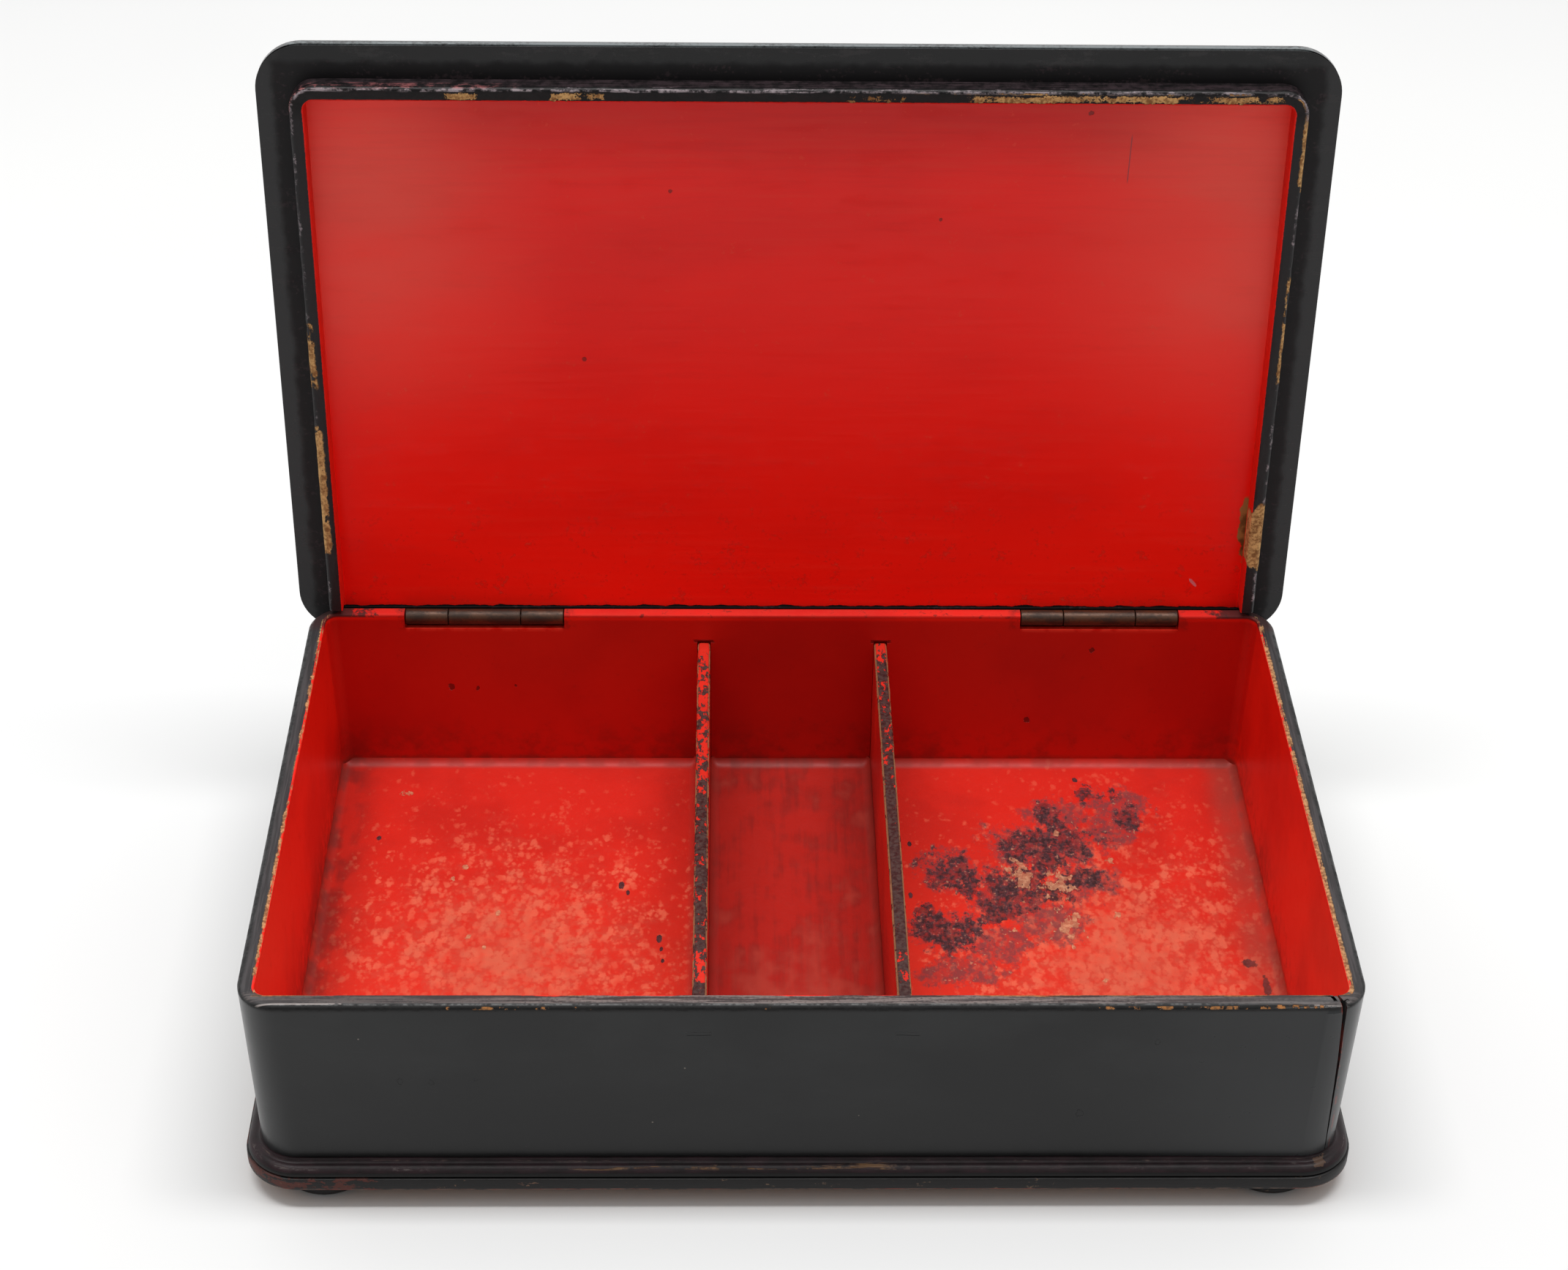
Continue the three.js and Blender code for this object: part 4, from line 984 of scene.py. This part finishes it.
def swell(piece, level, rise, columns, rows):
    """Raises a flat grid of corners into a cushion, each corner by its column's and its row's share."""
    for column, column_share in columns:
        for row, row_share in rows:
            pick(piece, lambda x, y, z: (abs(abs(x) - column) < 0.01 and abs(abs(y - MIDDLE_Y) - row) < 0.01
                                         and abs(z - level) < 0.01))
            bpy.ops.transform.translate(value=(0, 0, rise * column_share * row_share * MM))


field_low, field_high = -65.515, 58.185
field_wide = 102.5
field_middle, field_deep = (field_low + field_high) / 2 + 0.9, (field_high - field_low) / 2 + 0.9
vault = block((-field_wide, MIDDLE_Y - field_deep, 46), (field_wide, MIDDLE_Y + field_deep, under_z + 0.4))
bpy.ops.object.mode_set(mode="EDIT")
bpy.ops.mesh.select_all(action="SELECT")
bpy.ops.transform.edge_crease(value=1)
vault_columns = ((field_wide - 14, 0.45), (58, 0.85), (20, 1.0))
vault_rows = ((field_deep - 14, 0.55), (26, 0.92), (0, 1.0))
slice_at([side * place for place, share in vault_columns for side in (-1, 1)], 0)
slice_at([MIDDLE_Y + side * place for place, share in vault_rows for side in (-1, 1)], 1)
swell(vault, under_z + 0.4, 2.4, vault_columns, vault_rows)
bpy.ops.mesh.select_all(action="SELECT")
bpy.ops.transform.translate(value=(0, (field_middle - MIDDLE_Y) * MM, 0))
bpy.ops.object.mode_set(mode="OBJECT")
rounding = vault.modifiers.new("rounding", "SUBSURF")
rounding.levels = rounding.render_levels = 4
bpy.context.view_layer.objects.active = vault
bpy.ops.object.modifier_apply(modifier=rounding.name)
carve(lid, vault)
close_up(lid)
swing_open(lid)
coat(lid, lid_finish())
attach(lid, "lid")
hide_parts("lid_board")


# --- Locating strips -----------------------------------------------------------------------------
# Three thin strips glued under the lid, mitred at the front corners, which drop inside the walls.
# Their soles are black and badly chipped to the tan core; the faces towards the hollow are red.
strip_outer, strip_wide, strip_sole, strip_top = 105.5, 3.0, 47.3, 52.3
strip_corner, strip_front = 5.2, 68.515


def strip_finish():
    finish = Finish("strip_lacquer", OPENED, (HINGE_Y, HINGE_Z))
    x, y, z = finish.x, finish.y, finish.z
    fine = finish.noise(0.6, 4, 0.6)
    grain = finish.noise(2.0, 5, 0.7)
    patches = finish.noise((7, 7, 2), 4, 0.65, shift=(8, 2, 0))
    threads = finish.noise((11, 0.4, 0.4), 3, 0.6, shift=(2, 0, 3))
    side_in = strip_outer - abs(x)
    front_in = y + strip_front
    across, along = (strip_corner - side_in).most(0), (strip_corner - front_in).most(0)
    inwards = strip_corner - (across * across + along * along).root()
    front = y.rise(-60, -64)
    sides = 1.0 - front
    black = finish.mix(grain.rise(0.35, 0.65), ink(8, 6, 7), ink(20, 16, 17))
    black.lay(sides * 0.7, ink(34, 32, 33))
    outer = z.rise(48.0, 48.8) * inwards.rise(0.5, 0.2)
    black.lay(outer * (threads * 0.6 + grain * 0.5).rise(0.46, 0.7) * 0.7, ink(52, 40, 44))
    red = finish.mix(grain.rise(0.4, 0.7) * 0.4, ink(214, 26, 12), ink(176, 18, 11))
    inner = 2.75 - front * 0.05
    colour = finish.mix((inwards - inner + (fine - 0.5) * 0.3).rise(-0.05, 0.05), black, red)

    # The outer arris has a thin pale thread, partly rubbed pale and partly a painted highlight, pinkish
    # towards the left
    line = abs(inwards - 0.5 + (threads - 0.5) * 1.3 + (grain - 0.5) * 0.5).rise(0.36, 0.12)
    pale_thread_and_highlight = line * z.rise(48.8, 48.2) * (front * 0.04 + patches * 0.5 + grain * 0.5).rise(0.49, 0.6)
    colour.lay(pale_thread_and_highlight * 0.8, ink(150, 138, 142))
    pinkish = front * inwards.rise(0.5, 0.1) * x.rise(-55, -68)
    pinkish = pinkish * (threads * 0.5 + grain * 0.5).rise(0.5, 0.62) * z.rise(50.6, 49)
    colour.lay(pinkish * 0.7, ink(150, 84, 84))

    # Where it is chipped the tan core shows: a ragged line near the inner arris in front, at the
    # outer arris of the sides, and one large piece out of the right strip
    run = x.rise(26, 42) * x.rise(102, 99) * 0.22
    for place, half, more in ((-70, 3, 0.2), (-46, 5, 0.22), (15, 6, 0.16)):
        run = run.most((abs(x - place) - half).rise(2, 0) * more)
    centre = 1.8 + (grain - 0.5) * 2.2 + (patches - 0.5) * 1.2
    front_band = (abs(inwards - centre) + (fine - 0.5) * 0.9).rise(0.75, 0.6) * front
    front_chip = front_band * (patches * 0.5 + grain * 0.35 + fine * 0.2 + run).rise(0.685, 0.71)
    upper = abs(inwards - 0.75 + (grain - 0.5)).rise(0.28, 0.12) * front * x.rise(20, 40)
    front_chip = front_chip.most(upper * (patches * 0.5 + grain * 0.6).rise(0.56, 0.62))
    wear_left = ((abs(y + 6) - 7).rise(4, 0) * 0.2).most((abs(y - 27) - 14).rise(5, 0) * 0.26)
    wear_left = x.rise(-90, -95) * wear_left
    right = x.rise(90, 95)
    large = right * (abs(y - 38.4) - 4.5).rise(7, 0)
    wear_right = ((abs(y + 14) - 12).rise(5, 0) * 0.16).most((abs(y + 56) - 9).rise(4, 0) * 0.22)
    wear_right = right * wear_right
    wear = wear_left + wear_right + large * 0.4
    reach = 0.35 + wear_left * 4.6 + wear_right * 1.6 + large * 3.0
    band = (inwards - reach - (grain - 0.5) * 1.9).rise(0.3, 0.05)
    low = (z - large * inwards.rise(1.0, 2.0) * 3).rise(49.0, 48.0)
    side_chip = (patches * 0.75 + grain * 0.35 + wear).rise(0.69, 0.73) * low * band * sides
    chips = side_chip.most(front_chip * z.rise(49, 48.4))
    tan = finish.mix((grain * 0.7 + fine * 0.5).rise(0.5, 0.72), ink(196, 154, 98), ink(124, 84, 46))
    colour.lay(chips, tan)
    roughness = 0.4 + grain * 0.12 + chips * 0.3
    return finish.surface(colour, roughness, grain * 0.1 + fine * 0.03 - chips * 0.3, specular=0.22)


section = [(strip_outer, strip_top), (strip_outer, strip_sole + 0.8)]
section += [(strip_outer - inset, strip_sole + 0.8 - rise) for inset, rise in quarter(0.8, 5)]
section += [(strip_outer - 1.3, strip_sole), (strip_outer - 1.9, strip_sole)]
section += [(strip_outer - strip_wide + 0.4 * (1 - math.sin(t)), strip_sole + 0.4 * (1 - math.cos(t)))
            for t in (0, 0.5, 1.05, math.pi / 2)]
section += [(strip_outer - strip_wide, strip_top)]
strips = draw_section("lid_strips", [(-out, field_high, height) for out, height in section])
bpy.ops.mesh.edge_face_add()


def run_on(distance, direction, step=1.6):
    """Draws the selected section on in short, even steps."""
    count = round(distance / step)
    for _ in range(count):
        move = (direction[0] * distance / count * MM, direction[1] * distance / count * MM, 0)
        bpy.ops.mesh.extrude_region_move(TRANSFORM_OT_translate={"value": move})


turn_x, turn_y = strip_outer - strip_corner, strip_corner - strip_front
side_run = field_high - turn_y
run_on(side_run, (0, -1))
bpy.ops.mesh.spin(steps=8, angle=-math.pi / 2, center=(-turn_x * MM, turn_y * MM, 0), axis=(0, 0, 1))
run_on(2 * turn_x, (1, 0))
bpy.ops.mesh.spin(steps=8, angle=-math.pi / 2, center=(turn_x * MM, turn_y * MM, 0), axis=(0, 0, 1))
run_on(side_run, (0, 1))
pick(strips, lambda x, y, z: z < strip_sole + 1.0 and y < field_high - 1)
bpy.ops.transform.vertex_random(offset=0.11 * MM, seed=9)
bpy.ops.object.mode_set(mode="OBJECT")
close_up(strips, 45)
swing_open(strips)
coat(strips, strip_finish())
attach(strips, "lid")
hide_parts("lid_strip_front", "lid_strip_left", "lid_strip_right")


# --- Table, light and camera ---------------------------------------------------------------------
# A white table that runs out of sight, one long soft light overhead, and the pale room's own light,
# which is dimmer in front, where the camera stands, and brightest low at the back.
bpy.ops.object.select_all(action="DESELECT")
bpy.ops.mesh.primitive_plane_add(size=8)
table = bpy.context.object
table.name = table.data.name = "table"
table_finish = Finish("table_white")
table_cloud = table_finish.noise(260, 2, 0.5).rise(0.3, 0.7)
table_tone = table_finish.mix(table_cloud, (0.66, 0.66, 0.655, 1), (0.64, 0.64, 0.64, 1))
coat(table, table_finish.surface(table_tone, 0.6 + table_finish.noise(40) * 0.1, specular=0.25))

lamp = bpy.data.lights.new("overhead", "AREA")
lamp.shape = "RECTANGLE"
lamp.size, lamp.size_y = 1.4, 0.28
lamp.energy = 22
holder = bpy.data.objects.new("overhead", lamp)
bpy.context.collection.objects.link(holder)
holder.location = (0, 0, 1.5)


class Room(Finish):
    """The light of the room round the table, by the direction it comes from."""

    def __init__(self, name):
        self.world = bpy.data.worlds.new(name)
        self.world.use_nodes = True
        self.tree = self.world.node_tree
        self.tree.nodes.clear()
        self.split(self.node("TexCoord", output="Generated"))


room = Room("room")
dim_front = room.y.rise(0.2, -0.5) * room.z.rise(0.8, 0.35)
bright_back = room.y.rise(0.3, 0.7)
strength = 0.83 - dim_front * 0.58 + bright_back * 0.15
glow = room.node("Background", inputs={"Color": (1, 1, 1, 1), "Strength": strength})
room.node("OutputWorld", inputs={"Surface": glow})
bpy.context.scene.world = room.world
bpy.context.scene.view_settings.view_transform = "Standard"

# The camera fitted to the photograph: its pitch, turn and roll, and where its lens stood
pitch, turn, roll = math.radians(35.024), math.radians(1.305), math.radians(0.867)
ahead = Vector((math.sin(turn) * math.cos(pitch), math.cos(turn) * math.cos(pitch), -math.sin(pitch)))
level_right = Vector((math.cos(turn), -math.sin(turn), 0))
level_up = level_right.cross(ahead)
right = level_right * math.cos(roll) + level_up * math.sin(roll)
up = level_up * math.cos(roll) - level_right * math.sin(roll)
lens = bpy.data.cameras.new("photograph")
lens.sensor_fit = "HORIZONTAL"
lens.sensor_width = 36
lens.lens = 68.76
camera = bpy.data.objects.new("photograph", lens)
bpy.context.collection.objects.link(camera)
camera.matrix_world = Matrix.Translation((-0.014749, -0.504043, 0.441559)) @ Matrix((
    (right.x, up.x, -ahead.x, 0), (right.y, up.y, -ahead.y, 0), (right.z, up.z, -ahead.z, 0), (0, 0, 0, 1)))
bpy.context.scene.camera = camera
